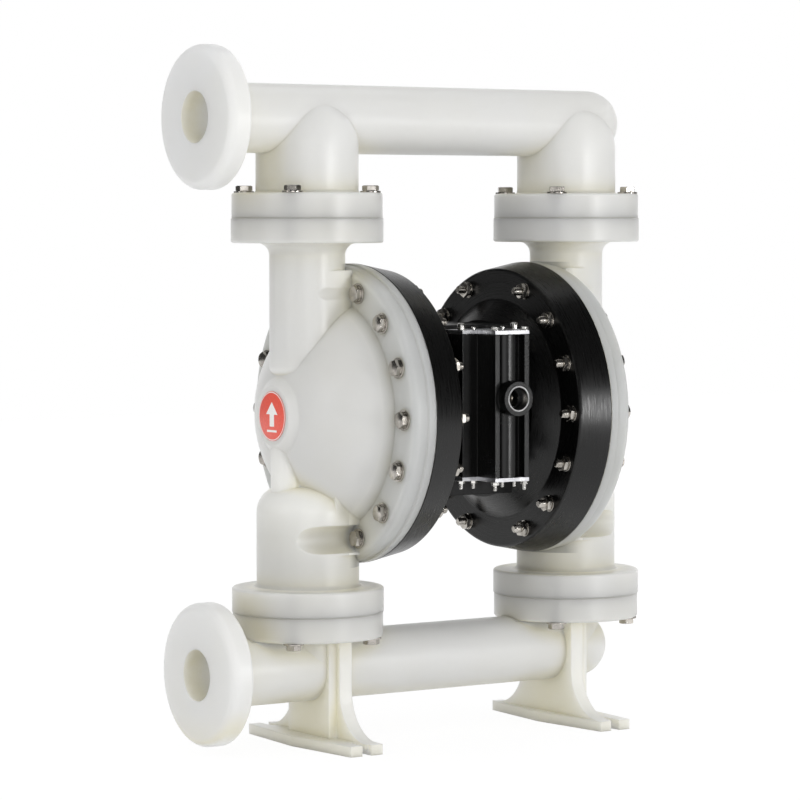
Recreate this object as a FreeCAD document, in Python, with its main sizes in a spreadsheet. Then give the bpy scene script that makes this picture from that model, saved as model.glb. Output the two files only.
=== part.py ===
import FreeCAD, Part
import math
import os
import re

import Sketcher

# Air operated double diaphragm pump, millimetres. +X runs along the manifolds away from the
# pipe flanges, -Y is the air inlet side, and +Z is up. The origin lies on the floor, midway
# between the two chambers.

SIZES = {
    # Where the chambers and manifolds lie
    "leg_offset": 186.3,
    "joint_span": 228.0,
    "lower_joint_height": 157.1,
    "outlet_tube_rise": 114.6,
    "inlet_tube_drop": 65.1,
    # Manifold tubes and their pipe flanges
    "port_face": 336.8,
    "port_flange_radius": 82.5,
    "port_flange_thickness": 27.9,
    "port_bore_radius": 29.7,
    "port_bore_length": 44.0,
    "tube_radius": 40.1,
    "tube_bore_radius": 30.5,
    "outlet_tube_overrun": 27.7,
    "inlet_tube_overrun": 11.3,
    "rim_rounding": 3.0,
    "port_front_rounding": 10.0,
    "port_back_rounding": 5.0,
    # Joints between manifolds and fluid caps
    "manifold_flange_radius": 87.5,
    "manifold_flange_thickness": 29.4,
    "cap_flange_radius": 88.4,
    "cap_flange_thickness": 28.6,
    "joint_bolt_circle": 75.0,
    "outlet_leg_radius": 59.7,
    "outlet_dome_drop": 32.0,
    "inlet_stub_radius": 39.5,
    "inlet_stub_bore_radius": 31.0,
    # Ball check valves
    "cage_bore_radius": 49.0,
    "ball_radius": 31.75,
    "ball_lift": 18.0,
    "ball_rest_gap": 0.3,
    "ball_guide_gap": 0.75,
    "rib_thickness": 6.0,
    "rib_foot_height": 9.0,
    "rib_hook_height": 12.0,
    "rib_hook_radius": 11.0,
    "rib_root": 1.5,
    "seat_radius": 42.0,
    "seat_recess_gap": 0.3,
    "seat_recess_depth": 8.0,
    "seat_rise": 6.0,
    "seat_bore_radius": 23.0,
    "seat_cone_height": 7.0,
    "seat_cone_radius": 32.0,
    "oring_gap": 0.1,
    # Fluid caps
    "chamber_radius": 175.3,
    "diaphragm_plane": 123.4,
    "cap_outer_face": 153.4,
    "cap_lip_width": 11.8,
    "cap_lip_step": 1.7,
    "cap_edge_rounding": 8.0,
    "parting_chamfer": 1.2,
    "bolt_ring_inset": 22.5,
    "dome_inset": 23.2,
    "dome_centre": 80.7,
    "dome_wall": 9.0,
    "bore_inset": 45.3,
    "neck_radius": 44.1,
    "neck_bore_radius": 35.0,
    "neck_bottom": 46.0,
    "neck_bottom_rounding": 10.0,
    "neck_flare": 14.0,
    "leg_radius": 59.7,
    "leg_top": 82.0,
    "leg_top_rounding": 31.0,
    "leg_crown_wall": 15.0,
    "leg_bore_radius": 36.0,
    "crown_slope": 15.0,
    "label_pad_radius": 35.0,
    "label_pad_root": 47.0,
    "label_pad_rise": 1.7,
    "spine_radius": 19.4,
    "spine_offset": 213.9,
    "web_root": 90.0,
    "neck_web_end": 168.0,
    "leg_web_end": 160.0,
    # Air caps
    "air_ring_face": 82.7,
    "air_ring_draft": 7.4,
    "air_dome_inset": 44.3,
    "hub_face": 58.0,
    "hub_inset": 69.3,
    "air_cap_wall": 10.0,
    "bowl_floor_inset": 91.3,
    # Centre body and rear exhaust
    "centre_front": 66.0,
    "centre_rear": 66.0,
    "centre_top": 103.0,
    "centre_bottom": 97.0,
    "centre_corner": 26.0,
    "exhaust_cover_width": 92.0,
    "exhaust_cover_height": 120.0,
    "exhaust_cover_depth": 26.0,
    "exhaust_cover_wall": 6.0,
    "exhaust_port_radius": 16.6,
    "exhaust_boss_radius": 24.0,
    "exhaust_boss_length": 10.0,
    "exhaust_port_height": -12.0,
    "exhaust_screw_inset": 7.0,
    "muffler_radius": 27.0,
    "muffler_length": 88.0,
    "muffler_shoulder": 5.0,
    "muffler_groove": 4.0,
    # Air valve block on the front of the centre body
    "gasket_thickness": 1.6,
    "valve_front": 148.0,
    "valve_rear_width": 90.0,
    "valve_step": 112.0,
    "valve_width": 48.0,
    "valve_top": 94.0,
    "valve_bottom": 72.0,
    "valve_recess_depth": 12.0,
    "valve_rail": 6.5,
    "valve_barrel_radius": 15.5,
    "valve_cover_thickness": 4.5,
    "air_boss_radius": 20.0,
    "air_boss_face": 161.0,
    "air_boss_height": 20.0,
    "air_port_radius": 13.2,
    "air_ring_radius": 14.9,
    "air_way_radius": 10.0,
    "air_ring_depth": 14.0,
    "spool_offset": 131.0,
    "spool_radius": 8.5,
    "spool_travel": 16.0,
    "spool_land_length": 14.0,
    "spool_waist_radius": 5.0,
    "spool_end_gap": 0.4,
    "sleeve_radius": 11.5,
    "slide_width": 20.0,
    "slide_length": 28.0,
    "slide_middle": -6.0,
    "slide_gap": 0.3,
    "slide_wall": 4.0,
    "slide_hollow_depth": 8.0,
    "window_half_width": 16.0,
    "window_low": 30.0,
    "window_high": 50.0,
    "plate_thickness": 6.0,
    "seal_groove": 1.2,
    "seal_width": 3.0,
    # Pieces that run inside the centre body
    "rod_radius": 14.0,
    "bushing_radius": 19.0,
    "bushing_length": 26.0,
    "running_gap": 0.05,
    "rod_seal_width": 5.0,
    "pilot_radius": 4.0,
    "pilot_bushing_radius": 7.5,
    "pilot_offset": 40.0,
    "pilot_travel": 4.0,
    "pilot_stroke_gap": 0.5,
    "stroke": 28.0,
    # Diaphragms and their washers
    "diaphragm_thickness": 6.0,
    "diaphragm_roll": 14.0,
    "diaphragm_rim_inset": 31.3,
    "rim_gap": 0.3,
    "roll_inner_radius": 62.0,
    "roll_outer_inset": 51.3,
    "washer_radius": 62.0,
    "inner_washer_thickness": 12.0,
    "outer_washer_thickness": 15.0,
    "washer_edge": 6.0,
    "washer_land": 2.0,
    "screw_radius": 8.0,
    "thread_gap": 0.05,
    "screw_clearance": 0.3,
    "screw_head_radius": 13.8,
    "screw_head_height": 10.0,
    "screw_thread_length": 28.0,
    # Bolts of the chambers and the manifold joints
    "bolt_radius": 5.0,
    "bolt_hole_radius": 5.5,
    "bolt_head_radius": 9.8,
    "bolt_head_height": 6.4,
    "flat_washer_radius": 12.0,
    "flat_washer_thickness": 2.0,
    "bolt_groove_radius": 16.0,
    "nut_height": 8.4,
    "bolt_tip": 17.4,
    "tapped_depth": 24.0,
    "joint_bolt_reach": 20.0,
    # Small screws
    "cover_screw_radius": 2.5,
    "cover_screw_head_radius": 4.6,
    "cover_screw_head_height": 3.4,
    "cover_screw_length": 14.0,
    "cover_screw_row": 13.0,
    "cover_screw_inset": 7.0,
    "cover_stud_tip": 7.0,
    "screw_hole_extra": 1.0,
    # Feet
    "foot_half_length": 112.0,
    "foot_thickness": 12.0,
    "foot_tip_out": 13.0,
    "foot_tip_in": 30.0,
    "foot_mid_out": 23.5,
    "foot_mid_in": 41.0,
    "foot_slot_width": 12.0,
    "foot_slot_length": 34.0,
    "post_in": 28.3,
    "post_width": 27.8,
    "post_half_depth": 44.0,
    "wall_thickness": 17.0,
    "wall_half_depth": 50.0,
    "wall_sweep": 55.0,
    # Label disc
    "label_radius": 28.7,
    "label_thickness": 0.6,
}

# Sizes that follow from the others, so that the pieces stay together when one changes
FOLLOWING = {
    "axis_height": "joint_span + lower_joint_height",
    "outlet_rise": "joint_span + outlet_tube_rise",
    "inlet_drop": "joint_span + inlet_tube_drop",
    "chamber_bolt_circle": "chamber_radius - bolt_ring_inset",
    "dome_radius": "chamber_radius - dome_inset",
    "chamber_bore_radius": "chamber_radius - bore_inset",
    "cap_side_radius": "chamber_radius - cap_lip_step",
    "label_pad_face": "dome_centre + dome_radius + label_pad_rise",
    "air_ring_inner_radius": "chamber_radius - air_ring_draft",
    "air_dome_radius": "chamber_radius - air_dome_inset",
    "hub_radius": "chamber_radius - hub_inset",
    "bowl_floor_radius": "chamber_radius - bowl_floor_inset",
    "diaphragm_rim_radius": "chamber_radius - diaphragm_rim_inset",
    "roll_outer_radius": "chamber_radius - roll_outer_inset",
}

CUT_MARGIN = 1.0
QUARTER_TURN = 90
JOINT_BOLT_ANGLES = [45.0 + 90.0 * step for step in range(4)]
SIDES = {"left": -1, "right": 1}

# Bolts stand at every sixteenth of a turn but the top and the bottom, counted from +Y
CHAMBER_BOLT_TURNS = [22.5 * step for step in range(16) if step not in (4, 12)]
# The bolts beside the leg and the neck stand in grooves that run out along those
GROOVE_TURNS = [67.5, 112.5, 247.5, 292.5]

# Lengths that follow from the sizes
SEAT_EDGE = "(seat_rise - seat_cone_height)"
BALL_CENTRE = f"({SEAT_EDGE} + sqrt(ball_radius ^ 2 - seat_bore_radius ^ 2) + ball_rest_gap)"
BALL_STOP = f"({BALL_CENTRE} + ball_radius + ball_lift + ball_rest_gap)"
OUTLET_JOINT = "(joint_span - outlet_rise)"
INLET_JOINT = "(inlet_drop - joint_span)"
FLOOR = "(inlet_drop - axis_height)"
SLIDE_FOOT = "(valve_bottom + slide_middle - slide_length / 2 - spool_end_gap)"
BLOCK_BACK = "(centre_front + gasket_thickness)"
WASHER_FACE = "(diaphragm_plane - diaphragm_thickness / 2)"
ROD_END = f"({WASHER_FACE} - inner_washer_thickness)"
RIM_RECESS = "(diaphragm_rim_radius + rim_gap)"
OUTER_FACE = "(diaphragm_plane + diaphragm_thickness / 2)"
PILOT_END = f"({ROD_END} - stroke - pilot_stroke_gap + pilot_travel)"

doc = FreeCAD.newDocument("DiaphragmPump")
sheet = doc.addObject("Spreadsheet::Sheet", "Sizes")
nodes = []


def fill_sheet():
    """Write each size into the sheet, under its own alias; the driving sizes come first."""
    cells = {name: str(size) for name, size in SIZES.items()}
    cells.update({name: "=" + rule for name, rule in FOLLOWING.items()})
    for row, (name, content) in enumerate(cells.items(), start=1):
        sheet.set(f"A{row}", name)
        sheet.set(f"B{row}", content)
        sheet.setAlias(f"B{row}", name)
    doc.recompute()


def bound(text):
    """An expression with each size name pointing at the sheet."""
    def to_cell(match):
        word = match.group()
        return f"Sizes.{word}" if word in SIZES or word in FOLLOWING else word
    return re.sub(r"[a-z][a-z_]*", to_cell, str(text))


def value(text):
    """What an expression is worth now, as a plain number."""
    return float(sheet.evalExpression(bound(text)))


def bind(thing, prop, text):
    """Tie a property to an expression."""
    thing.setExpression(prop, bound(text))


def place(thing, east="0", north="0", up="0", turn=0, axis=(0, 0, 1)):
    """Put an object at a bound place, turned by a fixed angle about an axis."""
    rotation = FreeCAD.Rotation(FreeCAD.Vector(*axis), turn)
    position = FreeCAD.Vector(value(east), value(north), value(up))
    thing.Placement = FreeCAD.Placement(position, rotation)
    bind(thing, "Placement.Base.x", east)
    bind(thing, "Placement.Base.y", north)
    bind(thing, "Placement.Base.z", up)


def keep(thing, label):
    """Give an object the name that its file gets."""
    thing.Label = label
    nodes.append(thing)
    return thing


def new_body(label):
    return keep(doc.addObject("PartDesign::Body", label), label)


def new_sketch(body, role, offset="0"):
    """An empty sketch on one of the body's own planes, moved along the plane's normal."""
    sketch = body.newObject("Sketcher::SketchObject", body.Name + "_sketch")
    support = next(f for f in body.Origin.OriginFeatures if f.Role == role)
    sketch.AttachmentSupport = (support, [""])
    sketch.MapMode = "FlatFace"
    bind(sketch, "AttachmentOffset.Base.z", offset)
    return sketch


def pin(sketch, geometry, point, across, along):
    """Hold a point of the sketch at bound coordinates."""
    pairs = (("DistanceX", across), ("DistanceY", along))
    for kind, text in pairs:
        rule = Sketcher.Constraint(kind, -1, 1, geometry, point, value(text))
        index = sketch.addConstraint(rule)
        bind(sketch, f"Constraints[{index}]", text)


def arc_between(start, end, radius, turn):
    """The shorter arc from start to end, turning left (1) or right (-1)."""
    chord = end - start
    half = chord.Length / 2
    rise = math.sqrt(max(radius ** 2 - half ** 2, 0.0))
    normal = FreeCAD.Vector(-chord.y, chord.x, 0).normalize() * (rise * turn)
    centre = start + chord * 0.5 + normal
    first, last = (start, end) if turn > 0 else (end, start)
    angles = [math.atan2(p.y - centre.y, p.x - centre.x) for p in (first, last)]
    circle = Part.Circle(centre, FreeCAD.Vector(0, 0, 1), radius)
    return Part.ArcOfCircle(circle, angles[0], angles[1])


def outline(sketch, corners):
    """A closed outline. A corner is (across, along), with (radius, turn) added where an arc
    leaves it for the next corner."""
    spots = [FreeCAD.Vector(value(c[0]), value(c[1]), 0) for c in corners]
    ends = []
    for index, corner in enumerate(corners):
        start = spots[index]
        end = spots[(index + 1) % len(spots)]
        if len(corner) == 2:
            geometry = sketch.addGeometry(Part.LineSegment(start, end))
            ends.append((geometry, 1, 2))
            continue
        radius, turn = corner[2:]
        arc = arc_between(start, end, value(radius), turn)
        geometry = sketch.addGeometry(arc)
        ends.append((geometry, 1, 2) if turn > 0 else (geometry, 2, 1))
        rule = sketch.addConstraint(Sketcher.Constraint("Radius", geometry, value(radius)))
        bind(sketch, f"Constraints[{rule}]", radius)
    for index, (geometry, start, end) in enumerate(ends):
        following, following_start, _ = ends[(index + 1) % len(ends)]
        rule = Sketcher.Constraint("Coincident", geometry, end, following, following_start)
        sketch.addConstraint(rule)
        pin(sketch, geometry, start, corners[index][0], corners[index][1])


def circle(sketch, radius, across="0", along="0"):
    centre = FreeCAD.Vector(value(across), value(along), 0)
    geometry = sketch.addGeometry(Part.Circle(centre, FreeCAD.Vector(0, 0, 1), value(radius)))
    rule = sketch.addConstraint(Sketcher.Constraint("Radius", geometry, value(radius)))
    bind(sketch, f"Constraints[{rule}]", radius)
    pin(sketch, geometry, 3, across, along)


def ring_of_circles(sketch, radius, ring_radius, angles, across="0", along="0"):
    """One circle at each angle of a bolt circle."""
    for angle in angles:
        circle(
            sketch,
            radius,
            f"{across} + {ring_radius} * cos({angle} deg)",
            f"{along} + {ring_radius} * sin({angle} deg)",
        )


def box_outline(sketch, left, right, low, high):
    outline(sketch, [(left, low), (right, low), (right, high), (left, high)])


def upright_axis(sketch, across):
    """A construction line that stands at a bound distance, to turn a profile about."""
    foot = FreeCAD.Vector(value(across), 0, 0)
    head = FreeCAD.Vector(value(across), 10, 0)
    line = sketch.addGeometry(Part.LineSegment(foot, head), True)
    pin(sketch, line, 1, across, "0")
    pin(sketch, line, 2, across, "10")


def add_feature(body, kind, sketch, removes):
    """A feature of the body that has to add or remove material."""
    before = body.Shape.Volume if body.Tip else 0.0
    feature = body.newObject(kind, body.Name + "_step")
    feature.Profile = sketch
    return feature, before, removes


def settle(body, step):
    """Recompute the body and see that its newest feature changed the solid."""
    feature, before, removes = step
    doc.recompute()
    change = body.Shape.Volume - before
    if (removes and change > -1e-6) or (not removes and change < 1e-6):
        raise RuntimeError(f"{body.Label}: {feature.Name} changes nothing")
    return feature


def pad(body, sketch, length, reverse=False, midplane=False):
    step = add_feature(body, "PartDesign::Pad", sketch, False)
    bind(step[0], "Length", length)
    step[0].Reversed = reverse
    step[0].SideType = "Symmetric" if midplane else "One side"
    return settle(body, step)


def pocket(body, sketch, depth, reverse=False):
    step = add_feature(body, "PartDesign::Pocket", sketch, True)
    bind(step[0], "Length", depth)
    step[0].Reversed = reverse
    return settle(body, step)


def revolve(body, sketch, axis="H_Axis"):
    step = add_feature(body, "PartDesign::Revolution", sketch, False)
    step[0].ReferenceAxis = (sketch, [axis])
    return settle(body, step)


def groove(body, sketch, axis="H_Axis"):
    step = add_feature(body, "PartDesign::Groove", sketch, True)
    step[0].ReferenceAxis = (sketch, [axis])
    return settle(body, step)


def turned(body, corners, across=None, cut=False):
    """Turn a profile about the local X axis, or about an upright axis at a distance."""
    sketch = new_sketch(body, "XZ_Plane")
    if across is None:
        outline(sketch, corners)
        axis = "H_Axis"
    else:
        outline(sketch, [(f"{across} + {c[0]}",) + tuple(c[1:]) for c in corners])
        upright_axis(sketch, across)
        axis = "Axis0"
    return groove(body, sketch, axis) if cut else revolve(body, sketch, axis)


def copies(label, source, places):
    """Identical solids at several bound places, kept as one node of separate solids."""
    links = []
    for spot in places:
        link = doc.addObject("App::Link", label + "_copy")
        link.LinkedObject = source
        place(link, **spot)
        links.append(link)
    group = doc.addObject("Part::Compound", label)
    group.Links = links
    return keep(group, label)


def pattern_piece(label):
    """A body that is only the pattern for copies and isn't kept by itself."""
    return doc.addObject("PartDesign::Body", label)


# Manifolds


def pipe_tube(body, overrun):
    """The long tube with its pipe flange at one end and a round closed end at the other."""
    end = f"(leg_offset + {overrun})"
    turned(body, [
        ("-port_face", "0"),
        ("-port_face", "port_flange_radius - port_front_rounding", "port_front_rounding", -1),
        ("-port_face + port_front_rounding", "port_flange_radius"),
        ("-port_face + port_flange_thickness - port_back_rounding", "port_flange_radius",
         "port_back_rounding", -1),
        ("-port_face + port_flange_thickness", "port_flange_radius - port_back_rounding"),
        ("-port_face + port_flange_thickness", "tube_radius + 2 * rim_rounding",
         "2 * rim_rounding", 1),
        ("-port_face + port_flange_thickness + 2 * rim_rounding", "tube_radius"),
        (end, "tube_radius", "tube_radius", -1),
        (f"{end} + tube_radius", "0"),
    ])


def bore_tube(body, overrun):
    """The fluid way through the pipe flange and along the tube."""
    end = f"(leg_offset + {overrun})"
    turned(body, [
        (f"-port_face - {CUT_MARGIN}", "0"),
        (f"-port_face - {CUT_MARGIN}", "port_bore_radius"),
        ("-port_face + port_bore_length", "port_bore_radius"),
        ("-port_face + port_bore_length", "tube_bore_radius"),
        (end, "tube_bore_radius", "tube_bore_radius", -1),
        (f"{end} + tube_bore_radius", "0"),
    ], cut=True)


def joint_holes(body, face, depth, radius, east, reverse):
    """The four bolt holes of one manifold joint."""
    sketch = new_sketch(body, "XY_Plane", face)
    ring_of_circles(sketch, radius, "joint_bolt_circle", JOINT_BOLT_ANGLES, east)
    pocket(body, sketch, depth, reverse)


def ball_cage(body, joint, east):
    """Four ribs that guide a ball above a joint and stop it at the top of its lift."""
    for role, offset, middle in (("XZ_Plane", "0", east), ("YZ_Plane", east, "0")):
        sketch = new_sketch(body, role, offset)
        for hand in (-1, 1):
            root = f"{middle} + {hand} * (cage_bore_radius + rib_root)"
            guide = f"{middle} + {hand} * (ball_radius + ball_guide_gap)"
            hook = f"{middle} + {hand} * rib_hook_radius"
            outline(sketch, [
                (root, f"{joint} + rib_foot_height"),
                (root, f"{joint} + {BALL_STOP} + rib_hook_height"),
                (hook, f"{joint} + {BALL_STOP} + rib_hook_height"),
                (hook, f"{joint} + {BALL_STOP}"),
                (guide, f"{joint} + {BALL_STOP}"),
                (guide, f"{joint} + rib_foot_height"),
            ])
        pad(body, sketch, "rib_thickness", midplane=True)


def outlet_manifold():
    body = new_body("outlet_manifold")
    place(body, up="axis_height + outlet_rise")
    pipe_tube(body, "outlet_tube_overrun")
    crown = "-outlet_dome_drop"
    for side in SIDES.values():
        turned(body, [
            ("0", OUTLET_JOINT),
            ("manifold_flange_radius", OUTLET_JOINT),
            ("manifold_flange_radius",
             f"{OUTLET_JOINT} + manifold_flange_thickness - rim_rounding", "rim_rounding", 1),
            ("manifold_flange_radius - rim_rounding",
             f"{OUTLET_JOINT} + manifold_flange_thickness"),
            ("outlet_leg_radius + rim_rounding", f"{OUTLET_JOINT} + manifold_flange_thickness",
             "rim_rounding", -1),
            ("outlet_leg_radius",
             f"{OUTLET_JOINT} + manifold_flange_thickness + rim_rounding"),
            ("outlet_leg_radius", crown, "outlet_leg_radius", 1),
            ("0", f"{crown} + outlet_leg_radius"),
        ], across=f"{side} * leg_offset")
    bore_tube(body, "outlet_tube_overrun")
    for side in SIDES.values():
        east = f"{side} * leg_offset"
        turned(body, [
            ("0", f"{OUTLET_JOINT} - {CUT_MARGIN}"),
            ("cage_bore_radius", f"{OUTLET_JOINT} - {CUT_MARGIN}"),
            ("cage_bore_radius", crown, "cage_bore_radius", 1),
            ("0", f"{crown} + cage_bore_radius"),
        ], across=east, cut=True)
        joint_holes(body, OUTLET_JOINT, f"manifold_flange_thickness + {CUT_MARGIN}",
                    "bolt_hole_radius", east, True)
        ball_cage(body, OUTLET_JOINT, east)


def foot(body, side):
    """One foot: a six-sided plate with a slot at each end, a post up to the joint flange,
    and a wall beside it whose hollow curves run down onto the ends of the plate."""
    middle = f"{side} * leg_offset"

    def inward(distance):
        return f"{middle} - {side} * ({distance})"

    post = new_sketch(body, "XY_Plane", FLOOR)
    box_outline(post, inward("post_in - post_width"), inward("post_in"),
                "-post_half_depth", "post_half_depth")
    pad(body, post, f"{INLET_JOINT} - {FLOOR} - manifold_flange_thickness / 2")
    plate = new_sketch(body, "XY_Plane", FLOOR)
    slot_middle = "(foot_tip_in - foot_tip_out) / 2"
    slot_out = inward(f"{slot_middle} - foot_slot_width / 2")
    slot_in = inward(f"{slot_middle} + foot_slot_width / 2")
    slot_root = "(foot_half_length - foot_slot_length + foot_slot_width / 2)"
    outline(plate, [
        (inward("-foot_mid_out"), "0"),
        (inward("-foot_tip_out"), "-foot_half_length"),
        (slot_out, "-foot_half_length"),
        (slot_out, f"-{slot_root}", "foot_slot_width / 2", -side),
        (inward(slot_middle), f"-{slot_root} + foot_slot_width / 2", "foot_slot_width / 2",
         -side),
        (slot_in, f"-{slot_root}"),
        (slot_in, "-foot_half_length"),
        (inward("foot_tip_in"), "-foot_half_length"),
        (inward("foot_mid_in"), "0"),
        (inward("foot_tip_in"), "foot_half_length"),
        (slot_in, "foot_half_length"),
        (slot_in, slot_root, "foot_slot_width / 2", -side),
        (inward(slot_middle), f"{slot_root} - foot_slot_width / 2", "foot_slot_width / 2",
         -side),
        (slot_out, slot_root),
        (slot_out, "foot_half_length"),
        (inward("-foot_tip_out"), "foot_half_length"),
    ])
    pad(body, plate, "foot_thickness")
    wall = new_sketch(body, "YZ_Plane", inward("post_in - wall_thickness / 2"))
    plate_top = f"({FLOOR} + foot_thickness)"
    wall_top = f"({INLET_JOINT} - manifold_flange_thickness / 2)"
    outline(wall, [
        ("-wall_half_depth - wall_sweep", plate_top, "wall_sweep", 1),
        ("-wall_half_depth", f"{plate_top} + wall_sweep"),
        ("-wall_half_depth", wall_top),
        ("wall_half_depth", wall_top),
        ("wall_half_depth", f"{plate_top} + wall_sweep", "wall_sweep", 1),
        ("wall_half_depth + wall_sweep", plate_top),
        ("wall_half_depth + wall_sweep", f"{plate_top} - foot_thickness / 2"),
        ("-wall_half_depth - wall_sweep", f"{plate_top} - foot_thickness / 2"),
    ])
    pad(body, wall, "wall_thickness", midplane=True)


def inlet_manifold():
    body = new_body("inlet_manifold")
    place(body, up="axis_height - inlet_drop")
    pipe_tube(body, "inlet_tube_overrun")
    for side in SIDES.values():
        turned(body, [
            ("0", "0"),
            ("inlet_stub_radius", "0"),
            ("inlet_stub_radius", f"{INLET_JOINT} - manifold_flange_thickness"),
            ("manifold_flange_radius - rim_rounding",
             f"{INLET_JOINT} - manifold_flange_thickness", "rim_rounding", 1),
            ("manifold_flange_radius",
             f"{INLET_JOINT} - manifold_flange_thickness + rim_rounding"),
            ("manifold_flange_radius", INLET_JOINT),
            ("0", INLET_JOINT),
        ], across=f"{side} * leg_offset")
        foot(body, side)
    bore_tube(body, "inlet_tube_overrun")
    for side in SIDES.values():
        east = f"{side} * leg_offset"
        seat_recess(body, "0", INLET_JOINT, east, "inlet_stub_bore_radius")
        joint_holes(body, INLET_JOINT, f"manifold_flange_thickness + {CUT_MARGIN}",
                    "bolt_hole_radius", east, False)


def seat_recess(body, floor, joint, east, bore):
    """The bore that leads up to a seat, and the recess that the seat stands in."""
    turned(body, [
        ("0", floor),
        (bore, floor),
        (bore, f"{joint} - seat_recess_depth"),
        ("seat_radius + seat_recess_gap", f"{joint} - seat_recess_depth"),
        ("seat_radius + seat_recess_gap", f"{joint} + {CUT_MARGIN}"),
        ("0", f"{joint} + {CUT_MARGIN}"),
    ], across=east, cut=True)


# Chambers


def dome_edge(radius, height):
    """How far out a sphere about the dome's centre lies at a distance from the axis."""
    return f"dome_centre + sqrt({radius} ^ 2 - {height} ^ 2)"


def dome_foot(radius):
    """The height at which a sphere about the dome's centre meets the cap's outer face."""
    return f"sqrt({radius} ^ 2 - (cap_outer_face - dome_centre) ^ 2)"


def fluid_cap(name, side):
    body = new_body(f"{name}_fluid_cap")
    place(body, up="axis_height", turn=0 if side > 0 else 180)
    turned(body, [
        ("diaphragm_plane", "0"),
        ("diaphragm_plane", "chamber_radius - parting_chamfer"),
        ("diaphragm_plane + parting_chamfer", "chamber_radius"),
        ("diaphragm_plane + cap_lip_width - cap_lip_step", "chamber_radius"),
        ("diaphragm_plane + cap_lip_width", "cap_side_radius"),
        ("cap_outer_face - cap_edge_rounding", "cap_side_radius", "cap_edge_rounding", -1),
        ("cap_outer_face", "cap_side_radius - cap_edge_rounding"),
        ("cap_outer_face", dome_foot("dome_radius"), "dome_radius", -1),
        ("dome_centre + dome_radius", "0"),
    ])
    turned(body, [
        ("0", "-joint_span"),
        ("cap_flange_radius", "-joint_span"),
        ("cap_flange_radius", "-joint_span + cap_flange_thickness - rim_rounding",
         "rim_rounding", 1),
        ("cap_flange_radius - rim_rounding", "-joint_span + cap_flange_thickness"),
        ("leg_radius + 2 * rim_rounding", "-joint_span + cap_flange_thickness",
         "2 * rim_rounding", -1),
        ("leg_radius", "-joint_span + cap_flange_thickness + 2 * rim_rounding"),
        ("leg_radius", "-leg_top - leg_top_rounding", "leg_top_rounding", 1),
        ("leg_radius - leg_top_rounding", "-leg_top"),
        ("0", "-leg_top"),
    ], across="leg_offset")
    turned(body, [
        ("0", "neck_bottom"),
        ("neck_radius - neck_bottom_rounding", "neck_bottom", "neck_bottom_rounding", 1),
        ("neck_radius", "neck_bottom + neck_bottom_rounding"),
        ("neck_radius", "joint_span - cap_flange_thickness - neck_flare", "neck_flare", -1),
        ("neck_radius + neck_flare", "joint_span - cap_flange_thickness"),
        ("cap_flange_radius - rim_rounding", "joint_span - cap_flange_thickness",
         "rim_rounding", 1),
        ("cap_flange_radius", "joint_span - cap_flange_thickness + rim_rounding"),
        ("cap_flange_radius", "joint_span"),
        ("0", "joint_span"),
    ], across="leg_offset")
    label_pad(body)
    spine = new_sketch(body, "XY_Plane", "-leg_top - leg_top_rounding / 2")
    circle(spine, "spine_radius", "spine_offset")
    pad(body, spine, "leg_top + leg_top_rounding / 2")
    webs = new_sketch(body, "YZ_Plane", "cap_outer_face")
    box_outline(webs, "-neck_radius", "neck_radius", "web_root", "neck_web_end")
    box_outline(webs, "-leg_radius", "leg_radius", "-leg_web_end", "-web_root")
    pad(body, webs, "leg_offset - cap_outer_face")
    hollow_fluid_cap(body)


def label_pad(body):
    """A flat round seat for the label, whose side slopes down onto the dome."""
    turned(body, [
        ("cap_outer_face", "0"),
        ("cap_outer_face", "label_pad_root"),
        (dome_edge("dome_radius", "label_pad_root") + f" - {CUT_MARGIN}", "label_pad_root"),
        ("label_pad_face", "label_pad_radius"),
        ("label_pad_face", "0"),
    ])


def hollow_fluid_cap(body):
    inner = "(dome_radius - dome_wall)"
    turned(body, [
        (f"diaphragm_plane - {CUT_MARGIN}", "0"),
        (f"diaphragm_plane - {CUT_MARGIN}", RIM_RECESS),
        ("diaphragm_plane + diaphragm_thickness / 2", RIM_RECESS),
        ("diaphragm_plane + diaphragm_thickness / 2", "chamber_bore_radius"),
        (dome_edge(inner, "chamber_bore_radius"), "chamber_bore_radius", inner, -1),
        (f"dome_centre + {inner}", "0"),
    ], cut=True)
    crown = "(-leg_top - leg_crown_wall)"
    narrowing = f"(-joint_span + {BALL_STOP} - crown_slope / 2)"
    turned(body, [
        ("0", f"-joint_span - {CUT_MARGIN}"),
        ("cage_bore_radius", f"-joint_span - {CUT_MARGIN}"),
        ("cage_bore_radius", narrowing),
        ("leg_bore_radius", f"{narrowing} + crown_slope"),
        ("leg_bore_radius", crown),
        ("0", crown),
    ], across="leg_offset", cut=True)
    seat_recess(body, "neck_bottom + leg_crown_wall", "joint_span", "leg_offset",
                "neck_bore_radius")
    holes = new_sketch(body, "YZ_Plane", "diaphragm_plane")
    ring_of_circles(holes, "bolt_hole_radius", "chamber_bolt_circle", CHAMBER_BOLT_TURNS)
    pocket(body, holes, f"cap_outer_face - diaphragm_plane + {CUT_MARGIN}", reverse=True)
    tapped = "bolt_radius + thread_gap"
    joint_holes(body, "-joint_span", "tapped_depth", tapped, "leg_offset", True)
    joint_holes(body, "joint_span", "tapped_depth", tapped, "leg_offset", False)
    ball_cage(body, "-joint_span", "leg_offset")
    grooves = new_sketch(body, "YZ_Plane", "leg_offset + leg_radius")
    ring_of_circles(grooves, "bolt_groove_radius", "chamber_bolt_circle", GROOVE_TURNS)
    pocket(body, grooves, "leg_offset + leg_radius - cap_outer_face")


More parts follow.
